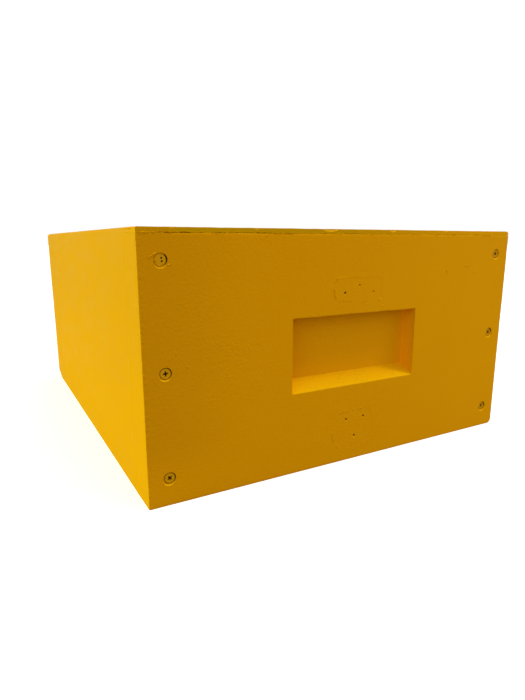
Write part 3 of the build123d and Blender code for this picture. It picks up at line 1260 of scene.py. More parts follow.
@dataclass(frozen=True)
class FramePine(Finish):
    """Planed pine, a little stained with use."""

    along: Axis = Axis.Y
    early: Colour = (0.66, 0.44, 0.22)
    late: Colour = (0.46, 0.26, 0.10)
    stain: Colour = (0.30, 0.16, 0.05)
    band_share: float = 0.55
    band_height: float = 0.04
    fibre_share: float = 0.25
    fibre_height: float = 0.10
    stain_share: float = 0.45
    shine: float = 0.35

    def wire(self, graph: Graph) -> None:
        """Builds the finish in its material's own tree.

        Args:
            graph: the material's own tree.
        """
        parts = graph.parts(graph.place())
        order = ("Y", "X", "Z") if self.along is Axis.Y else ("Z", "X", "Y")
        turned = graph.add("ShaderNodeCombineXYZ", {name: parts[part] for name, part in zip("XYZ", order)})
        grain = WoodGrain().use(graph, Place=turned.outputs[0])
        fibres = grain["Fibres"]
        colour = graph.mix(graph.math("MULTIPLY", grain["Bands"], self.band_share), self.early, self.late)
        colour = graph.mix(graph.ramp(fibres, 0.35, 0.7, 0.0, self.fibre_share), colour, self.late)
        colour = graph.mix(graph.math("MULTIPLY", grain["Stain"], self.stain_share), colour, self.stain)
        roughness = graph.ramp(fibres, 0.2, 0.8, 0.55, 0.75)
        height = graph.total((fibres, self.fibre_height), (grain["Bands"], self.band_height))
        graph.surface(colour, roughness, height, specular=self.shine)


@dataclass(frozen=True)
class WaxedFoundation(Finish):
    """Plastic foundation brushed with beeswax, thicker in drifts."""

    plastic: Colour = (0.72, 0.48, 0.10)
    wax: Colour = (0.86, 0.66, 0.24)
    drifts: float = 18.0
    drift_share: float = 0.7
    brushing: Triple = (1.0, 1.0, 6.0)
    strokes: float = 120.0
    stroke_share: float = 0.3
    stroke_height: float = 0.05

    def wire(self, graph: Graph) -> None:
        """Builds the finish in its material's own tree.

        Args:
            graph: the material's own tree.
        """
        place = graph.place()
        drift = graph.noise(place, self.drifts, 4.0)
        brush = graph.noise(graph.stretch(place, self.brushing), self.strokes)
        waxed = graph.ramp(graph.total((drift, self.drift_share), (brush, self.stroke_share)), 0.4, 0.62)
        colour = graph.mix(waxed, self.plastic, self.wax)
        roughness = graph.ramp(waxed, 0.0, 1.0, 0.35, 0.55)
        graph.surface(colour, roughness, graph.math("MULTIPLY", brush, self.stroke_height))


# Sub-assemblies


@dataclass
class CornerScrews:
    """The countersunk cross-head screws of one end panel, sunk and painted over."""

    end: End
    material: bpy.types.Material
    head_radius: float = 4.85 * MM
    head_ease: float = 0.35 * MM
    head_ring: float = 0.6 * MM
    head_land: float = 0.4 * MM
    paint_skin: float = 0.4 * MM
    shank_radius: float = 1.95 * MM
    core_radius: float = 1.6 * MM
    thread_radius: float = 2.5 * MM
    thread_pitch: float = 3.0 * MM
    thread_foot: float = 0.4
    thread_crest: float = 0.7
    tip: float = 5.0 * MM
    sink_radius: float = 5.5 * MM
    fit: float = 0.1 * MM
    cross_span: float = 4.6 * MM
    cross_wing: float = 1.5 * MM
    cross_depth: float = 1.9 * MM
    clogged: int = 2
    clogged_lean: float = 0.45 * MM
    clogged_rise: float = 0.1 * MM
    pit_radius: float = 1.0 * MM
    pit_depth: float = 1.0 * MM
    pit_spacing: float = 2.7 * MM
    pit_shift: float = 1.1 * MM
    pit_taper: float = 0.7
    pit_sides: int = 10
    mouth_depth: float = 0.95 * MM
    mouth_slope: float = 1.1 * MM
    mouths: tuple[Triple, ...] = (
        (-0.5, -0.8, 6.3),
        (-0.3, -0.6, 6.2),
        (-0.7, -0.8, 6.5),
        (0.1, -0.8, 6.3),
        (0.0, -0.6, 6.1),
        (0.1, -0.8, 6.3),
    )
    # The gap round a head gets its painted shade mostly towards this side.
    gap_side: Triple = (0.94, 0.0, 0.34)
    gap_least: float = 0.45
    right_sink: float = 0.4 * MM
    turns: tuple[float, ...] = (40.0, 4.0, 6.0, 18.0, 47.0, 9.0)
    sides: int = 28

    def spots(self) -> list[Vector]:
        """Where each screw's axis meets the outside of the front panel, left column first.

        Returns:
            The places, each column from its foot up.
        """
        low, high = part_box("front_screws")
        radius = self.head_radius
        columns = (low.x + radius, high.x - radius)
        rows = (low.z + radius, (low.z + high.z) / 2, high.z - radius)
        return [Vector((x, CAD_LOW.y, z)) for x in columns for z in rows]

    def sink(self) -> float:
        """How deep the heads lie under the face of the panel."""
        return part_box("front_screws")[0].y - CAD_LOW.y

    def head_depth(self, spot: Vector) -> float:
        """How deep the paint on a screw's head lies under the face: more on the right."""
        return self.sink() - self.paint_skin + (self.right_sink if spot.x > 0.0 else 0.0)

    def is_clogged(self, number: int) -> bool:
        """Whether a screw is the leaning one at the front's upper left, whose slot is full of paint."""
        return self.end is End.FRONT and number == self.clogged

    def bores(self) -> list[Workpiece]:
        """Cutting shapes of the holes that an end panel needs for the screws.

        Returns:
            The cutting shapes.
        """
        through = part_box("front_panel")[1].y - CAD_LOW.y + MM
        sink = self.sink()
        head, hole = self.head_radius + self.fit, self.shank_radius + self.fit
        cone = sink + self.head_land
        profile = [(self.sink_radius, -MM), (self.sink_radius, sink), (head, sink), (head, cone)]
        profile += [(hole, cone + head - hole), (hole, through)]
        return [Workpiece.turned("screw_bore", spot, profile, self.sides, Axis.Y) for spot in self.spots()]

    def slopes(self) -> list[Workpiece]:
        """Cutting shapes of the worn mouths of the sinks, which slope most on their lower sides.

        Returns:
            The cutting shapes.
        """
        made = []
        for spot, (x, z, radius) in zip(self.spots(), self.mouths):
            at, wide = spot + Vector((x, 0.0, z)) * MM, radius * MM
            profile = [(wide, -MM), (wide, 0.0), (wide - self.mouth_slope, self.mouth_depth)]
            made.append(Workpiece.turned("screw_mouth", at, profile, self.sides, Axis.Y))
        return made

    def profile(self) -> list[tuple[float, float]]:
        """(radius, depth) of each ring of a screw, from its head to its tip.

        Returns:
            The rings.
        """
        low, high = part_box("front_screws")
        length, plain = high.y - low.y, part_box("front_panel")[1].y - low.y
        neck = self.head_land + self.head_radius - self.shank_radius
        flat, skin = self.head_radius - self.head_ease, self.paint_skin
        rings = [(flat - self.head_ring, -skin), (flat, -skin), (self.head_radius, self.head_ease - skin)]
        rings += [(self.head_radius, self.head_land), (self.shank_radius, neck), (self.shank_radius, plain)]
        turns = round((length - self.tip - plain) / self.thread_pitch)
        for turn in range(turns):
            start = plain + turn * self.thread_pitch
            rings.append((self.core_radius, start + self.thread_foot * self.thread_pitch))
            rings.append((self.thread_radius, start + self.thread_crest * self.thread_pitch))
            rings.append((self.core_radius, start + self.thread_pitch))
        rings.append((self.fit, length))
        return rings

    def painted_shade(self, below: float) -> Callable[[Vector], float]:
        """Makes the test for the painted shade in the screw recesses.

        Args:
            below: depth under the face that the dark starts at.

        Returns:
            Takes a place and gives the share of painted shade there: all of a cross slot, and the gap round
            a head, most at its right, where alone the leaning screw leaves one.
        """
        spots = self.spots()
        slots = [self.head_depth(spot) + self.head_ease for spot in spots]
        flat = self.head_radius - self.head_ease + self.fit
        right = Vector(self.gap_side)

        def share(at: Vector) -> float:
            """Share of painted shade at a place.

            Args:
                at: the place.

            Returns:
                The share, from 0 to 1.
            """
            for number, spot in enumerate(spots):
                out = Vector((at.x - spot.x, 0.0, at.z - spot.z))
                if out.length > self.sink_radius + self.fit or at.y < spot.y + below:
                    continue
                if out.length < flat - self.head_ring:
                    return float(at.y > spot.y + slots[number])
                if out.length > flat:
                    least = 0.0 if self.is_clogged(number) else self.gap_least
                    return least + (1.0 - least) * max(0.0, out.normalized().dot(right))
            return 0.0

        return share

    def build(self) -> None:
        """Models one open and one paint-clogged screw and copies them to their places."""
        origin = Vector()
        open_head = Workpiece.turned("open_head", origin, self.profile(), self.sides, Axis.Y)
        clogged = open_head.copy("clogged_head", origin)
        half, wing, deep = self.cross_span / 2, self.cross_wing / 2, self.cross_depth
        for x, z in ((half, wing), (wing, half)):
            slot = Workpiece.block("slot", Vector((-x, -deep, -z)), Vector((x, deep, z)))
            open_head.carve(slot)
        rings = [(self.pit_radius, -MM), (self.pit_taper * self.pit_radius, self.pit_depth)]
        for z in (-self.pit_spacing / 2, self.pit_spacing / 2):
            at = Vector((self.pit_shift, 0.0, z))
            clogged.carve(Workpiece.turned("pit", at, rings, self.pit_sides, Axis.Y))
        made = []
        for number, (spot, turn) in enumerate(zip(self.spots(), self.turns)):
            step = Vector((0.0, self.head_depth(spot) + self.paint_skin, 0.0))
            head = open_head
            if self.is_clogged(number):
                head = clogged
                step -= Vector((self.clogged_lean, self.clogged_rise, 0.0))
            made.append(head.copy("screw", spot + step))
            made[-1].spin_in_place(spot, turn)
        name = f"{self.end.name.lower()}_screws"
        screws = made[0]
        screws.object.name = f"{name}_painted"
        screws.join(made[1:])
        for spare in (open_head, clogged):
            spare.discard()
        screws.smooth()
        # Marks painted shade in the cross slots and the gaps round the heads.
        screws.mark("painted_shade", self.painted_shade(self.fit))
        if self.end is End.REAR:
            screws.turn_to_rear()
        screws.hand_over(self.material, ROOT_BODY, "screw_steel", name)


@dataclass
class ClipMarks:
    """What a removed hive clip left on the front: screw holes and shallow marks of its two plates."""

    hole_radius: float = 1.25 * MM
    hole_depth: float = 15.0 * MM
    hole_sides: int = 12
    mouth_radius: float = 1.7 * MM
    mouth_depth: float = 1.2 * MM
    mouth_drop: float = 0.8 * MM
    mouth_sides: int = 16
    clog_depth: float = 1.5 * MM
    clogs: tuple[float, ...] = (0.0, 0.4, 0.45, 0.0, 0.0, 0.05)
    half_spacing: float = 18.4 * MM
    upper_height: float = 181.1 * MM
    middle_rise: float = 7.3 * MM
    lower_height: float = 39.8 * MM
    lower_circle: float = 13.5 * MM
    lower_turns: tuple[float, ...] = (-90.0, 30.0, 150.0)
    mark_depth: float = 0.1 * MM
    upper_mark: tuple[float, float] = (62.0 * MM, 23.0 * MM)
    upper_mark_at: tuple[float, float] = (-1.5 * MM, 184.2 * MM)
    upper_mark_corner: float = 5.0 * MM
    corner_segments: int = 4
    lower_mark_radius: float = 29.0 * MM
    lower_mark_sides: int = 40
    lower_mark_at: tuple[float, float] = (-1.5 * MM, 41.5 * MM)
    lower_mark_top: float = 56.5 * MM
    lower_mark_lean: float = 19.6
    lower_mark_side: float = 24.0 * MM

    def holes(self) -> list[Vector]:
        """Where the six screw holes meet the front.

        Returns:
            The places, the upper three first.
        """
        upper, rise = self.upper_height, self.middle_rise
        spots = [(-self.half_spacing, upper), (0.0, upper + rise), (self.half_spacing, upper)]
        for degrees in self.lower_turns:
            angle = math.radians(degrees)
            circle = self.lower_circle
            spots.append((circle * math.cos(angle), self.lower_height + circle * math.sin(angle)))
        return [Vector((x, CAD_LOW.y, z)) for x, z in spots]

    def drills(self) -> list[Workpiece]:
        """Cutting shapes of the screw holes, some narrowed by paint.

        Returns:
            The cutting shapes.
        """
        made = []
        for spot, clog in zip(self.holes(), self.clogs):
            wide = self.hole_radius * (1.0 - clog)
            profile = [(wide, -MM), (wide, self.clog_depth), (self.hole_radius, self.hole_depth)]
            made.append(Workpiece.turned("clip_hole", spot, profile, self.hole_sides, Axis.Y))
        return made

    def mouths(self) -> list[Workpiece]:
        """Cutting shapes of the holes' worn mouths, which slope most on their lower sides.

        Returns:
            The cutting shapes.
        """
        drop = Vector((0.0, 0.0, self.mouth_drop))
        made = []
        for spot, clog in zip(self.holes(), self.clogs):
            wide = self.mouth_radius * (1.0 - clog / 2)
            profile = [(wide, -MM), (wide, 0.0), (wide / 3, self.mouth_depth)]
            made.append(Workpiece.turned("hole_mouth", spot - drop, profile, self.mouth_sides, Axis.Y))
        return made

    def painted_shade(self) -> Callable[[Vector], float]:
        """Makes the test for the painted shade inside the holes.

        Returns:
            Takes a place and gives 1 inside a hole and 0 elsewhere.
        """
        holes = self.holes()
        reach, mouth = self.hole_radius * 1.1, 0.9 * self.clog_depth

        def share(at: Vector) -> float:
            """Gives 1 inside a hole and 0 elsewhere."""
            inside = (math.hypot(at.x - hole.x, at.z - hole.z) < reach for hole in holes)
            return float(CAD_LOW.y + mouth < at.y < CAD_LOW.y + 2.0 * self.hole_depth and any(inside))

        return share

    def plates(self) -> list[Workpiece]:
        """Cutting shapes of the plate marks.

        Returns:
            The cutting shapes, the upper one first.
        """
        face, deep = CAD_LOW.y, self.mark_depth
        (wide, tall), (x, z) = self.upper_mark, self.upper_mark_at
        low = Vector((x - wide / 2, face - MM, z - tall / 2))
        upper = Workpiece.block("upper_plate", low, Vector((x + wide / 2, face + deep, z + tall / 2)))
        upper.round_over(self.upper_mark_corner, self.corner_segments, lambda at, run: abs(run.y) > deep)
        x, z = self.lower_mark_at
        rings = [(self.lower_mark_radius, -MM), (self.lower_mark_radius, deep)]
        lower = Workpiece.turned("lower_plate", Vector((x, face, z)), rings, self.lower_mark_sides, Axis.Y)
        lower.trim(Vector((x, face, self.lower_mark_top)), Vector(Axis.Z.value))
        lean = math.radians(self.lower_mark_lean)
        for side in (-1.0, 1.0):
            outwards = Vector((side * math.cos(lean), 0.0, math.sin(lean)))
            at = Vector((x + side * self.lower_mark_side, face, (z + self.lower_mark_top) / 2))
            lower.trim(at, outwards)
        return [upper, lower]


@dataclass
class EndPanel:
    """A foam end panel with its hand pocket, screw bores and frame rebate."""

    end: End
    material: bpy.types.Material
    screws: CornerScrews
    clips: ClipMarks | None
    left_radius: float
    right_radius: float
    pocket_width: float = 160.0 * MM
    pocket_height: float = 75.0 * MM
    pocket_depth: float = 18.0 * MM
    pocket_rise: float = 10.5 * MM
    rebate_depth: float = 10.0 * MM
    rebate_floor: float = 225.5 * MM
    corner_segments: int = 5
    edge_ease: float = 0.4 * MM
    ease_segments: int = 2
    across_step: float = 3.5 * MM
    up_step: float = 2.5 * MM
    through_step: float = 9.0 * MM
    swell: float = 45.0 * MM
    swell_height: float = 0.35 * MM
    swell_edge: float = 3.0 * MM
    notch: float = 1.8 * MM
    notch_height: float = 1.2 * MM
    notch_reach: float = 2.5 * MM
    notch_cuts: int = 2
    lip_dents: tuple[tuple[float, float], ...] = (
        (-52.0, -0.2),
        (-11.5, 0.5),
        (30.0, 0.4),
        (39.0, 0.5),
        (62.0, -0.2),
    )
    lip_reach: float = 5.0 * MM
    bounce_least: float = 0.12
    bounce_reach: float = 11.0 * MM

    def build(self) -> None:
        """Models the panel at the front, and turns it to the rear if it belongs there."""
        node = f"{self.end.name.lower()}_panel"
        low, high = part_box("front_panel")
        high.z += SEAM_RISE
        panel = Workpiece.block(f"{node}_foam", low, high)
        for x, radius in ((low.x, self.left_radius), (high.x, self.right_radius)):
            panel.round_corner(Vector((x, high.y, low.z)), radius, self.corner_segments)
        self.sink_pocket(panel)
        self.ease(panel)
        panel.cut_evenly(Axis.X, low.x, high.x, self.across_step)
        panel.cut_evenly(Axis.Z, low.z, high.z, self.up_step)
        panel.cut_evenly(Axis.Y, low.y, high.y, self.through_step)
        near = 2.0 * self.notch_reach
        panel.refine(
            self.notch_cuts,
            lambda at, run: runs_along(run, Axis.Z) and max(at.x - low.x, at.y - low.y) < near,
        )
        for across, up in self.lip_dents:
            lip = Vector((across * MM, low.y, (CAD_HIGH.z + self.pocket_height) / 2))
            panel.dent(lip, Vector((0.0, 0.0, up * MM)), self.lip_reach)
        self.carve(panel)
        panel.weigh("face", lambda at: min(1.0, (at.z - low.z) / self.swell_edge) * (at.y < low.y + MM))
        panel.ripple(self.swell, self.swell_height, weights="face")
        panel.weigh("edges", lambda at: self.near_edge(at, low, high))
        panel.ripple(self.notch, self.notch_height, weights="edges")
        panel.smooth()
        self.mark_painted_shade(panel)
        # Marks painted bounce light in the hand pocket.
        panel.mark("pocket_bounce", self.pocket_bounce)
        if self.end is End.REAR:
            panel.turn_to_rear()
        panel.hand_over(self.material, ROOT_BODY, "painted_polystyrene", node)

    def ease(self, panel: Workpiece) -> None:
        """Takes the sharpness off the edges of the face and the pocket; the joints behind stay closed.

        Args:
            panel: the panel.
        """
        with panel.edit():
            bpy.ops.mesh.select_mode(type=Pick.EDGES.value)
            bpy.ops.mesh.select_all(action="DESELECT")
            bpy.ops.mesh.edges_select_sharp(sharpness=math.radians(SHARP))
        mesh = panel.object.data
        sharp = {edge.index for edge in mesh.edges if edge.select}
        depth = self.pocket_depth

        def shows(at: Vector, run: Vector) -> bool:
            """Whether an edge is on the face or in the pocket."""
            deep = at.y - CAD_LOW.y
            return deep < 0.6 * depth or (deep < depth + MM and abs(run.y) < MM)

        for edge in mesh.edges:
            start, stop = (mesh.vertices[index].co for index in edge.vertices)
            edge.select = edge.index in sharp and shows((start + stop) / 2, stop - start)
        with panel.edit():
            bpy.ops.mesh.bevel(offset=self.edge_ease, segments=self.ease_segments, affect="EDGES")

    def near_edge(self, at: Vector, low: Vector, high: Vector) -> float:
        """Weight from 0 to 1 towards the outer edges of the panel's face.

        Args:
            at: the place.
            low: the panel's lowest corner.
            high: its highest corner.

        Returns:
            The weight.
        """
        calm = min(high.x - at.x, high.z - at.z)
        gap = min(at.x - low.x, at.z - low.z, 2.0 * calm + self.notch_reach / 2)
        if at.y > low.y + self.notch_reach or at.z < low.z + MM:
            return 0.0
        return max(0.0, 1.0 - gap / self.notch_reach)

    def pocket_bounce(self, at: Vector) -> float:
        """Share from 0 to 1 of painted bounce light in the hand pocket, most on its side walls.

        Args:
            at: the place.

        Returns:
            The share.
        """
        aside = self.pocket_width / 2 - abs(at.x)
        if aside < -MM or abs(at.z - CAD_HIGH.z / 2) > self.pocket_height / 2 + MM:
            return 0.0
        deep = min(1.0, 2.0 * (at.y - CAD_LOW.y) / self.pocket_depth)
        return deep * max(self.bounce_least, 1.0 - aside / self.bounce_reach)

    def mark_painted_shade(self, panel: Workpiece) -> None:
        """Marks painted shade inside the bores and holes.

        Args:
            panel: the panel.
        """
        tests = [self.screws.painted_shade(self.screws.mouth_depth + self.screws.fit / 4)]
        if self.clips:
            tests.append(self.clips.painted_shade())
        panel.mark("painted_shade", lambda at: max(test(at) for test in tests))

    def sink_pocket(self, panel: Workpiece) -> None:
        """Pushes the hand pocket in, and lifts the back of its floor.

        Args:
            panel: the panel.
        """
        face, middle = CAD_LOW.y, CAD_HIGH.z / 2
        half, tall = self.pocket_width / 2, self.pocket_height
        bottom, top = middle - tall / 2, middle + tall / 2
        panel.cut(Axis.X, [-half, half])
        panel.cut(Axis.Z, [bottom, top])

        def in_mouth(at: Vector, normal: Vector) -> bool:
            """Whether a face is one of those that the pocket takes in."""
            return at.y < face + MM and normal.y < -0.9 and abs(at.x) < half and bottom < at.z < top

        panel.pick(Pick.FACES, in_mouth)
        panel.extrude(Vector((0.0, self.pocket_depth, 0.0)))
        panel.resize((1.0, 1.0, 1.0 - self.pocket_rise / tall), Vector((0.0, face, top)))

    def carve(self, panel: Workpiece) -> None:
        """Cuts the rebate, the bores and what the clips left.

        Args:
            panel: the panel.
        """
        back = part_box("front_panel")[1].y
        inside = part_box("right_side_panel")[0].x
        corner = Vector((-inside, back - self.rebate_depth, self.rebate_floor))
        cutter = Workpiece.block("rebate", corner, Vector((inside, back + MM, CAD_HIGH.z)))
        if self.clips:
            panel.carve_all(self.clips.plates())
            panel.carve_all(self.clips.mouths())
            cutter.join(self.clips.drills())
        cutter.join(self.screws.bores())
        panel.carve(cutter)
        panel.carve_all(self.screws.slopes())


@dataclass
class SidePanel:
    """A foam side panel between the two end panels."""

    node: str
    material: bpy.types.Material
    edge_ease: float = 0.15 * MM
    along_step: float = 5.0 * MM
    up_step: float = 4.0 * MM
    through_step: float = 10.0 * MM
    swell: float = 60.0 * MM
    swell_height: float = 0.08 * MM
    swell_edge: float = 3.0 * MM

    def build(self) -> None:
        """Models the panel."""
        low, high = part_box(self.node)
        panel = Workpiece.block(f"{self.node}_foam", low, high)
        panel.ease(self.edge_ease)
        panel.cut_evenly(Axis.X, low.x, high.x, self.through_step)
        panel.cut_evenly(Axis.Y, low.y, high.y, self.along_step)
        panel.cut_evenly(Axis.Z, low.z, high.z, self.up_step)
        panel.weigh("off_floor", lambda at: min(1.0, (at.z - low.z) / self.swell_edge))
        panel.ripple(self.swell, self.swell_height, weights="off_floor")
        panel.smooth()
        panel.hand_over(self.material, ROOT_BODY, "painted_polystyrene", self.node)


@dataclass(frozen=True)
class Chip:
    """A chip knocked out of the outer top edge of a strip, in millimetres."""

    across: float
    length: float
    depth: float


@dataclass
class RimStrip:
    """A thin strip along the top of an end panel, chipped along its outer edge."""

    end: End
    material: bpy.types.Material
    chips: list[Chip]
    left_radius: float = 0.9 * MM
    right_radius: float = 4.0 * MM
    corner_segments: int = 4
    edge_ease: float = 0.35 * MM
    rebate_depth: float = 10.0 * MM
    along_step: float = 2.5 * MM
    through_step: float = 3.0 * MM
    up_step: float = 1.2 * MM
    waver: float = 14.0 * MM
    waver_height: float = 0.4 * MM
    proud: float = 0.3 * MM
    seam_height: float = 0.6 * MM
    seam_start: float = 16.0 * MM
    seam_fade: tuple[float, float] = (-60.0 * MM, 50.0 * MM)
    seam_least: float = 0.15
    seam_cuts: int = 1
    ragged: float = 2.6 * MM
    ragged_height: float = 1.2 * MM
    wave: float = 9.0 * MM
    wave_height: float = 1.3 * MM

    def build(self) -> None:
        """Models the strip at the front, and turns it to the rear if it belongs there."""
        node = f"{self.end.name.lower()}_top_strip"
        low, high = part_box("front_top_strip")
        low += Vector((0.0, -self.proud, SEAM_RISE))
        strip = Workpiece.block(f"{node}_painted", low, high)
        for x, radius in ((low.x, self.left_radius), (high.x, self.right_radius)):
            strip.round_corner(Vector((x, high.y, high.z)), radius, self.corner_segments)
        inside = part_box("right_side_panel")[0].x
        corner = Vector((-inside, high.y - self.rebate_depth, low.z - MM))
        strip.carve(Workpiece.block("rebate", corner, Vector((inside, high.y + MM, high.z + MM))))
        strip.ease(self.edge_ease)
        strip.cut_evenly(Axis.X, low.x, high.x, self.along_step)
        strip.cut_evenly(Axis.Y, low.y, high.y, self.through_step)
        strip.cut_evenly(Axis.Z, low.z + self.seam_height, high.z, self.up_step)
        strip.cut(Axis.Z, [low.z + self.seam_height])
        strip.refine(self.seam_cuts, lambda at, run: runs_along(run, Axis.X) and self.on_seam(at, low))
        # Marks painted shade in the seam under the strip.
        strip.mark("painted_shade", lambda at: self.seam_shade(at, low))
        strip.ripple(self.waver, self.waver_height)
        strip.weigh("seam", lambda at: float(self.on_seam(at, low)))
        for size, height in ((self.ragged, self.ragged_height), (self.wave, self.wave_height)):
            strip.ripple(size, height, direction="Z", weights="seam")
        for chip in self.chips:
            size = Vector((chip.length, 2.0 * chip.depth, 2.0 * chip.depth)) * MM
            strip.carve(Workpiece.pebble("chip", Vector((chip.across * MM, low.y, high.z)), size))
        strip.smooth()
        if self.end is End.REAR:
            strip.turn_to_rear()
        strip.hand_over(self.material, ROOT_BODY, "painted_strip", node)

    def on_seam(self, at: Vector, low: Vector) -> bool:
        """Whether a place is on the lower front edge."""
        return at.y < low.y + MM and at.z < low.z + 1.1 * self.seam_height

    def seam_shade(self, at: Vector, low: Vector) -> float:
        """Painted shade in the seam along the lower front edge.

        Args:
            at: the place.
            low: the strip's lowest corner.

        Returns:
            The share, from 0 to 1: none at the left end, most next to it and less to the right.
        """
        if at.x < low.x + self.seam_start or at.y > low.y + MM or at.z > low.z + self.seam_height / 2:
            return 0.0
        start, stop = self.seam_fade
        return min(1.0, max(self.seam_least, (stop - at.x) / (stop - start)))


@dataclass(frozen=True)
class Ridge:
    """A ragged line of thick paint on the front: corners across and up, and thickness, in millimetres."""

    thickness: float
    corners: tuple[tuple[float, float], ...]
    whole: bool = False

    def places(self) -> list[Vector]:
        """Corners of the line on the face of the front."""
        return [Vector((x * MM, CAD_LOW.y, z * MM)) for x, z in self.corners]


@dataclass
class PaintBuildUp:
    """Thick paint on one end: ragged ridges, filler at the leaning screw and a lip under the strip."""

    end: End
    material: bpy.types.Material
    screws: CornerScrews
    ridges: list[Ridge]
    step: float = 0.9 * MM
    waver: float = 0.3 * MM
    spread: float = 0.6
    crumb_steps: tuple[int, int] = (2, 5)
    crumb_sizes: tuple[float, float] = (0.7, 1.3)
    gap_steps: tuple[int, int] = (0, 2)
    filler: float = 1.2 * MM
    filler_depth: float = 0.9 * MM
    filler_arc: tuple[float, float] = (50.0, 300.0)
    filler_steps: int = 12
    seam_lip: float = 0.4 * MM
    seam_start: float = 16.0 * MM
    seam_runs: tuple[float, float] = (6.0 * MM, 26.0 * MM)
    seam_gaps: tuple[float, float] = (10.0 * MM, 45.0 * MM)
    corner_lip: float = 1.0 * MM
    corner_lip_drop: float = 1.3 * MM
    smooth_angle: float = 60.0
    chance: random.Random = field(default_factory=lambda: random.Random(23))

    def build(self) -> None:
        """Models every bead of paint at the front, and turns them to the rear if they belong there."""
        beads = self.seam()
        for ridge in self.ridges:
            if ridge.whole:
                beads.append(self.bead(ridge.places(), ridge.thickness * MM))
            else:
                beads += self.crumbs(ridge)
        for number, spot in enumerate(self.screws.spots()):
            if self.screws.is_clogged(number):
                beads.append(self.fill(spot))
        paint = beads[0]
        paint.object.name = f"{self.end.name.lower()}_paint_ridges"
        paint.join(beads[1:])
        paint.smooth(self.smooth_angle)
        if self.end is End.REAR:
            paint.turn_to_rear()
        paint.hand_over(self.material, ROOT_BODY, "painted_polystyrene")

    def scatter(self, corners: list[Vector]) -> list[Vector]:
        """Places along a line, a step apart and a little off it.

        Args:
            corners: corners of the line.

        Returns:
            The places.
        """
        places = []
        for start, stop in zip(corners, corners[1:]):
            count = max(1, round((stop - start).length / self.step))
            places += [start.lerp(stop, number / count) for number in range(count)]
        places.append(corners[-1].copy())
        for place in places:
            place += Vector(self.chance.uniform(-self.waver, self.waver) for _ in range(3))
        return places

    def lay(self, places: list[Vector], thickness: float) -> Workpiece:
        """Lays an uneven bead through places.

        Args:
            places: the places.
            thickness: thickness of the bead.

        Returns:
            The bead.
        """
        line = Workpiece.path("bead", places)
        line.thicken(thickness / 2, self.chance.randrange(1000), self.spread)
        return line

    def bead(self, corners: list[Vector], thickness: float) -> Workpiece:
        """Lays one ragged bead along a line."""
        return self.lay(self.scatter(corners), thickness)

    def crumbs(self, ridge: Ridge) -> list[Workpiece]:
        """Lays a ridge as a row of short crumbs of paint.

        Args:
            ridge: the ridge.

        Returns:
            The crumbs.
        """
        places = self.scatter(ridge.places())
        made = []
        start = 0
        while start < len(places) - 1:
            stop = start + self.chance.randint(*self.crumb_steps)
            thickness = ridge.thickness * MM * self.chance.uniform(*self.crumb_sizes)
            made.append(self.lay(places[start : stop + 1], thickness))
            start = stop + self.chance.randint(*self.gap_steps)
        return made

    def fill(self, spot: Vector) -> Workpiece:
        """Fills the gap round the leaning screw's head, apart from its right side.

        Args:
            spot: where the screw's axis meets the face.

        Returns:
            The filler, a bead along part of a circle.
        """
        middle = spot + Vector((0.0, self.filler_depth, 0.0))
        radius = self.screws.sink_radius - self.filler / 3
        first, last = self.filler_arc
        count = self.filler_steps
        turns = [math.radians(first + (last - first) * number / count) for number in range(count + 1)]
        places = [middle + radius * Vector((math.cos(turn), 0.0, math.sin(turn))) for turn in turns]
        return self.bead(places, self.filler)

    def seam(self) -> list[Workpiece]:
        """Lays broken beads under the strip, fills its seam near the left edge and rounds its left end.

        Returns:
            The beads.
        """
        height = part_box("front_top_strip")[0].z + SEAM_RISE
        low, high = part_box("front_panel")
        rim = CAD_HIGH.z - self.corner_lip_drop
        across = low.x + self.seam_start
        corner = [Vector((low.x, y, rim)) for y in (high.y, low.y + MM)]
        filled = [Vector((x, low.y, height)) for x in (low.x + MM, across)]
        beads = [self.bead(line, self.corner_lip) for line in (corner, filled)]
        while across < high.x - self.seam_start:
            stop = min(across + self.chance.uniform(*self.seam_runs), high.x - MM)
            run = [Vector((x, low.y, height - self.seam_lip)) for x in (across, stop)]
            beads.append(self.bead(run, self.seam_lip))
            across = stop + self.chance.uniform(*self.seam_gaps)
        return beads


@dataclass
class FrameRests:
    """The two steel angles that carry the frames, and the nails that hold them."""

    sheet: bpy.types.Material
    nails: bpy.types.Material

    def dress(self) -> None:
        """Finishes the CAD pieces, whose shapes are right."""
        for end in End:
            dress_node(f"{end.name.lower()}_frame_rest", self.sheet)
            dress_node(f"{end.name.lower()}_rest_nails", self.nails)


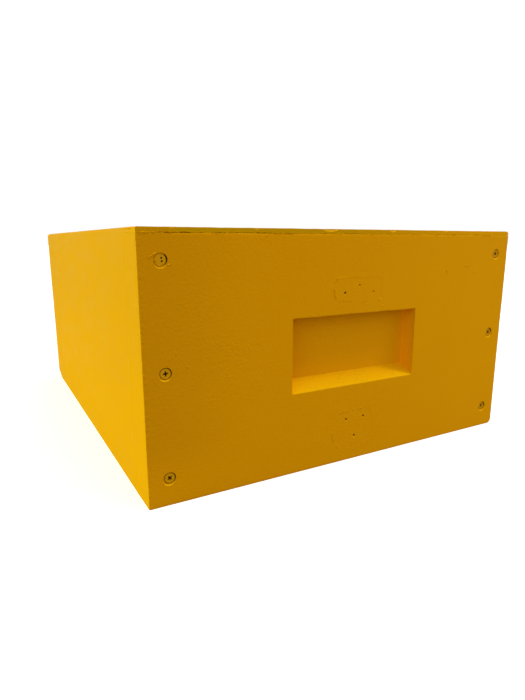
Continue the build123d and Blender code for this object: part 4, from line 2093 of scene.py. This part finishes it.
@dataclass
class CombFrames:
    """Ten wooden frames, each with an embossed sheet of foundation."""

    long_wood: bpy.types.Material
    upright_wood: bpy.types.Material
    wax: bpy.types.Material
    nails: bpy.types.Material
    cell: float = 5.4 * MM
    cell_depth: float = 0.75 * MM
    nail_radius: float = 1.7 * MM
    nail_rise: float = 0.3 * MM
    nail_from_end: float = 4.5 * MM
    nail_from_middle: float = 5.5 * MM
    nail_sides: int = 14
    merge: float = MM / 50

    def build(self) -> None:
        """Models one sheet, copies it into every frame and finishes the bars."""
        sheet = self.emboss()
        for body in sorted(name for name in frame["bodies"] if name != ROOT_BODY):
            dress_node(f"{body}_top_bar", self.long_wood)
            dress_node(f"{body}_bottom_bar", self.long_wood)
            dress_node(f"{body}_end_bars", self.upright_wood)
            node = f"{body}_foundation"
            low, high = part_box(node)
            copy = sheet.copy(f"{node}_embossed", Vector(((low.x + high.x) / 2, 0.0, 0.0)))
            copy.hand_over(self.wax, body, "foundation", node)
            self.nail(body)
        sheet.discard()

    def nail(self, body: str) -> None:
        """Drives two nails through each end of a top bar into the end bars.

        Args:
            body: the frame's body.
        """
        low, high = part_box(f"{body}_end_bars")
        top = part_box(f"{body}_top_bar")[1].z
        wide, rise = self.nail_radius, self.nail_rise
        profile = [(0.6 * wide, -2.0 * rise), (wide, -rise), (wide, 0.6 * rise), (0.7 * wide, rise)]
        made = []
        for y in (low.y + self.nail_from_end, high.y - self.nail_from_end):
            for step in (-self.nail_from_middle, self.nail_from_middle):
                at = Vector(((low.x + high.x) / 2 + step, y, top))
                made.append(Workpiece.turned(f"{body}_nails", at, profile, self.nail_sides, Axis.Z))
        made[0].join(made[1:])
        made[0].smooth()
        made[0].hand_over(self.nails, body, "nail_steel")

    def emboss(self) -> Workpiece:
        """Models a sheet of pressed cells about x = 0.

        Returns:
            The sheet: a hexagon with a sunk middle, repeated over one face, mirrored for the other.
        """
        low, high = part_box("frame_01_foundation")
        ridge = (high.x - low.x) / 2
        radius = self.cell / math.sqrt(3.0)
        clear_bench()
        bpy.ops.mesh.primitive_circle_add(
            vertices=6,
            radius=radius,
            fill_type="TRIFAN",
            location=(ridge, low.y, low.z),
            rotation=(math.pi / 2, 0.0, math.pi / 2),
        )
        sheet = Workpiece("foundation_sheet")
        middle = Vector((ridge, low.y, low.z))
        sheet.pick(Pick.POINTS, lambda at, _: (at - middle).length < radius / 2)
        with sheet.edit():
            bpy.ops.transform.translate(value=(-self.cell_depth, 0.0, 0.0))
        steps = [
            (2, (0.0, self.cell / 2, 1.5 * radius)),
            (math.ceil((high.y - low.y) / self.cell) + 1, (0.0, self.cell, 0.0)),
            (math.ceil((high.z - low.z) / (3.0 * radius)) + 1, (0.0, 0.0, 3.0 * radius)),
        ]
        for count, step in steps:
            sheet.apply(
                "ARRAY",
                count=count,
                use_relative_offset=False,
                use_constant_offset=True,
                constant_offset_displace=step,
                use_merge_vertices=True,
                merge_threshold=self.merge,
            )
        for at, outwards in ((low, -1.0), (high, 1.0)):
            sheet.trim(at, Vector((0.0, outwards, 0.0)), fill=False)
            sheet.trim(at, Vector((0.0, 0.0, outwards)), fill=False)
        with sheet.edit():
            bpy.ops.mesh.select_mode(type=Pick.EDGES.value)
            bpy.ops.mesh.select_all(action="SELECT")
            bpy.ops.mesh.remove_doubles(threshold=self.merge)
            bpy.ops.mesh.select_all(action="DESELECT")
            bpy.ops.mesh.select_non_manifold(
                use_wire=False, use_multi_face=False, use_non_contiguous=False, use_verts=False
            )
            bpy.ops.mesh.extrude_edges_move()
            bpy.ops.transform.resize(value=(0.0, 1.0, 1.0), center_override=(0.0, 0.0, 0.0))
        sheet.apply(
            "MIRROR", use_axis=(True, False, False), use_mirror_merge=True, merge_threshold=self.merge
        )
        sheet.face_outwards()
        return sheet


@dataclass(frozen=True)
class PhotoCamera:
    """The camera that took the picture: a phone held low, a step from the left front corner."""

    place: Triple = (-0.33840, -0.67074, 0.23152)
    heading: float = 29.26
    pitch: float = -12.15
    lens: float = 25.98
    sensor: float = 36.0
    clip_start: float = 20.0 * MM

    def build(self) -> None:
        """Sets the scene's camera."""
        data = bpy.data.cameras.new("photo_camera")
        data.lens = self.lens
        data.sensor_width = self.sensor
        data.clip_start = self.clip_start
        camera = bpy.data.objects.new("photo_camera", data)
        bpy.context.scene.collection.objects.link(camera)
        turn = Matrix.Rotation(math.radians(-self.heading), 4, "Z")
        tilt = Matrix.Rotation(math.radians(90.0 + self.pitch), 4, "X")
        camera.matrix_world = Matrix.Translation(self.place) @ turn @ tilt
        bpy.context.scene.camera = camera


@dataclass(frozen=True)
class Softbox:
    """A square lamp: where it stands and points, its width, power and colour."""

    name: str
    at: Triple
    towards: Triple
    size: float
    power: float
    colour: Colour


@dataclass(frozen=True)
class Studio:
    """White floor, a key light from the right, soft lamps and a pale surround."""

    key_from: Triple = (0.525, -0.231, 0.819)
    key_colour: Colour = (1.0, 1.0, 0.95)
    key_strength: float = 0.92
    key_angle: float = 10.0
    softboxes: tuple[Softbox, ...] = (
        Softbox("fill_light", (-1.9, 0.1, 0.4), (0.0, 0.0, 0.12), 0.7, 18.4, (1.0, 1.33, 0.5)),
        Softbox("side_light", (1.0, -0.9, 0.5), (0.2275, -0.2695, 0.12), 0.6, 1.1, (1.0, 0.9, 0.85)),
        Softbox("soft_light", (-3.2, -2.2, 1.2), (0.0, -0.1, 0.12), 2.0, 11.2, (1.0, 1.25, 0.95)),
    )
    surround_colour: Colour = (1.0, 0.91, 0.93)
    surround: float = 0.795
    floor_half: float = 30.0
    floor_pale: Colour = (0.93, 0.93, 0.93)
    floor_paler: Colour = (0.95, 0.95, 0.95)
    floor_bounce: Colour = (0.3, 0.3, 0.3)
    floor_glow: float = 0.45
    floor_roughness: float = 0.85
    floor_shine: float = 0.1
    floor_lumps: float = 3.0
    floor_relief: float = 0.01
    glow_edge: tuple[float, float] = (0.88, 0.96)

    def build(self) -> None:
        """Sets the floor, the lights and the surround."""
        bpy.context.scene.view_settings.view_transform = "Standard"
        self.lay_floor()
        key = self.lamp("key_light", "SUN", Vector(self.key_from), Vector())
        key.energy, key.color = self.key_strength, self.key_colour
        key.angle = math.radians(self.key_angle)
        for box in self.softboxes:
            soft = self.lamp(box.name, "AREA", Vector(box.at), Vector(box.towards))
            soft.energy, soft.color, soft.size = box.power, box.colour, box.size
        self.set_surround()

    def lamp(self, name: str, kind: str, at: Vector, towards: Vector) -> bpy.types.Light:
        """Adds a light that points at a place.

        Args:
            name: the light's name.
            kind: the light's kind, in Blender's own word.
            at: where it stands.
            towards: where it points.

        Returns:
            The light's settings.
        """
        data = bpy.data.lights.new(name, kind)
        holder = bpy.data.objects.new(name, data)
        bpy.context.scene.collection.objects.link(holder)
        holder.location = at
        holder.rotation_euler = (towards - at).to_track_quat("-Z", "Y").to_euler()
        return data

    def lay_floor(self) -> None:
        """Lays the floor, which looks white round the body and bounces little light."""
        clear_bench()
        bpy.ops.mesh.primitive_plane_add(size=2.0 * self.floor_half)
        floor = Workpiece("studio_floor")
        made = bpy.data.materials.new("studio_floor")
        made.use_nodes = True
        made.node_tree.nodes.clear()
        graph = Graph(made.node_tree)
        place = graph.place()
        mottle = graph.noise(place, self.floor_lumps)
        in_view = graph.add("ShaderNodeLightPath").outputs["Is Camera Ray"]
        seen = graph.mix(mottle, self.floor_pale, self.floor_paler)
        colour = graph.mix(in_view, self.floor_bounce, seen)
        relief = graph.math("MULTIPLY", mottle, self.floor_relief)
        shader = graph.surface(colour, self.floor_roughness, relief, specular=self.floor_shine)
        parts = graph.parts(place)
        across = graph.math("DIVIDE", graph.math("ABSOLUTE", parts["X"]), CAD_HIGH.x)
        along = graph.math("DIVIDE", graph.math("ABSOLUTE", parts["Y"]), CAD_HIGH.y)
        outside = graph.ramp(graph.math("MAXIMUM", across, along), *self.glow_edge, 0.0, self.floor_glow)
        graph.feed(shader.inputs["Emission Color"], (1.0, 1.0, 1.0))
        graph.feed(shader.inputs["Emission Strength"], graph.math("MULTIPLY", in_view, outside))
        floor.object.data.materials.append(made)

    def set_surround(self) -> None:
        """Sets a backdrop that looks white and lights the body a little less brightly."""
        world = bpy.data.worlds.new("surround")
        world.use_nodes = True
        world.node_tree.nodes.clear()
        graph = Graph(world.node_tree)
        seen = graph.add("ShaderNodeBackground", {"Color": (1.0, 1.0, 1.0), "Strength": 1.0})
        lit = graph.add("ShaderNodeBackground", {"Color": self.surround_colour, "Strength": self.surround})
        mix = graph.add("ShaderNodeMixShader")
        graph.feed(mix.inputs[0], graph.add("ShaderNodeLightPath").outputs["Is Camera Ray"])
        graph.feed(mix.inputs[1], lit.outputs[0])
        graph.feed(mix.inputs[2], seen.outputs[0])
        output = graph.add("ShaderNodeOutputWorld")
        graph.feed(output.inputs["Surface"], mix.outputs[0])
        bpy.context.scene.world = world


def front_ridges() -> list[Ridge]:
    """Ragged paint on the front: round the old clip plates, at the upper left screw and a few runs.

    Returns:
        The lines of paint.
    """
    upper_plate = [
        Ridge(0.9, ((-27.2, 195.7), (-29.8, 193.5), (-32.2, 191.4))),
        Ridge(1.0, ((-32.4, 185.6), (-32.0, 182.0), (-31.2, 179.1), (-29.8, 175.2))),
        Ridge(0.7, ((-29.0, 174.0), (-18.4, 173.1), (-9.0, 172.5))),
        Ridge(0.9, ((6.6, 171.4), (8.2, 171.8))),
        Ridge(0.8, ((26.0, 171.6), (30.6, 173.4))),
        Ridge(1.0, ((30.6, 164.6), (33.6, 166.4), (36.9, 167.9))),
    ]
    lower_plate = [
        Ridge(0.9, ((-23.6, 53.6), (-20.0, 55.0), (-13.3, 55.9), (-7.6, 56.0))),
        Ridge(0.8, ((-2.6, 55.6), (-0.6, 55.4))),
        Ridge(0.7, ((3.0, 56.0), (9.3, 55.9))),
        Ridge(0.8, ((17.0, 54.2), (20.4, 52.9))),
        Ridge(0.9, ((-29.6, 33.0), (-28.6, 27.0), (-26.6, 23.0))),
        Ridge(0.8, ((-24.0, 18.6), (-20.4, 15.4))),
        Ridge(0.8, ((26.6, 23.4), (22.0, 19.0), (15.1, 16.2))),
    ]
    strings = [
        Ridge(1.2, ((-218.8, 217.9), (-216.9, 219.2), (-214.6, 220.5), (-210.8, 222.9)), True),
        Ridge(1.1, ((-202.4, 212.4), (-198.0, 213.5)), True),
    ]
    flecks = [
        Ridge(0.6, ((-110.0, 236.0), (-107.6, 236.8)), True),
        Ridge(0.7, ((-106.4, 229.2), (-104.9, 230.8)), True),
        Ridge(1.2, ((153.0, 203.6), (161.0, 204.0)), True),
        Ridge(1.0, ((123.4, 200.4), (127.2, 196.4)), True),
        Ridge(1.1, ((168.4, 197.0), (170.6, 198.2)), True),
        Ridge(1.1, ((84.8, 207.4), (86.2, 207.8)), True),
        Ridge(0.6, ((-198.6, 138.0), (-196.2, 136.4)), True),
        Ridge(0.7, ((-191.0, 127.2), (-187.2, 125.0)), True),
    ]
    return upper_plate + lower_plate + strings + flecks


def main() -> None:
    """Builds the sub-assemblies in order and dresses them."""
    logging.basicConfig(level=logging.INFO, format="%(message)s")
    PhotoCamera().build()
    Studio().build()
    foam = PaintedFoam().material()
    strip = PaintedStrip().material()
    screw = PaintedScrew().material()
    nails = NailSteel().material()
    front_screws = CornerScrews(End.FRONT, screw)
    rear_screws = CornerScrews(End.REAR, screw)
    EndPanel(End.FRONT, foam, front_screws, ClipMarks(), 0.8 * MM, 5.5 * MM).build()
    EndPanel(End.REAR, foam, rear_screws, None, 3.0 * MM, 10.0 * MM).build()
    for side in ("left", "right"):
        SidePanel(f"{side}_side_panel", foam).build()
    front_chips = [
        Chip(-198.0, 5.0, 1.1),
        Chip(-119.0, 5.5, 1.4),
        Chip(-38.5, 18.0, 2.5),
        Chip(41.0, 10.0, 2.4),
        Chip(119.5, 7.0, 1.4),
    ]
    rear_chips = [Chip(-150.0, 9.0, 1.3), Chip(82.0, 6.0, 1.0)]
    RimStrip(End.FRONT, strip, front_chips).build()
    RimStrip(End.REAR, strip, rear_chips, right_radius=3.5 * MM).build()
    front_screws.build()
    rear_screws.build()
    PaintBuildUp(End.FRONT, foam, front_screws, front_ridges()).build()
    PaintBuildUp(End.REAR, foam, rear_screws, []).build()
    FrameRests(GalvanisedSheet().material(), nails).dress()
    pine = [FramePine(axis).material() for axis in (Axis.Y, Axis.Z)]
    CombFrames(*pine, WaxedFoundation().material(), nails).build()


if __name__ == "__main__":
    main()
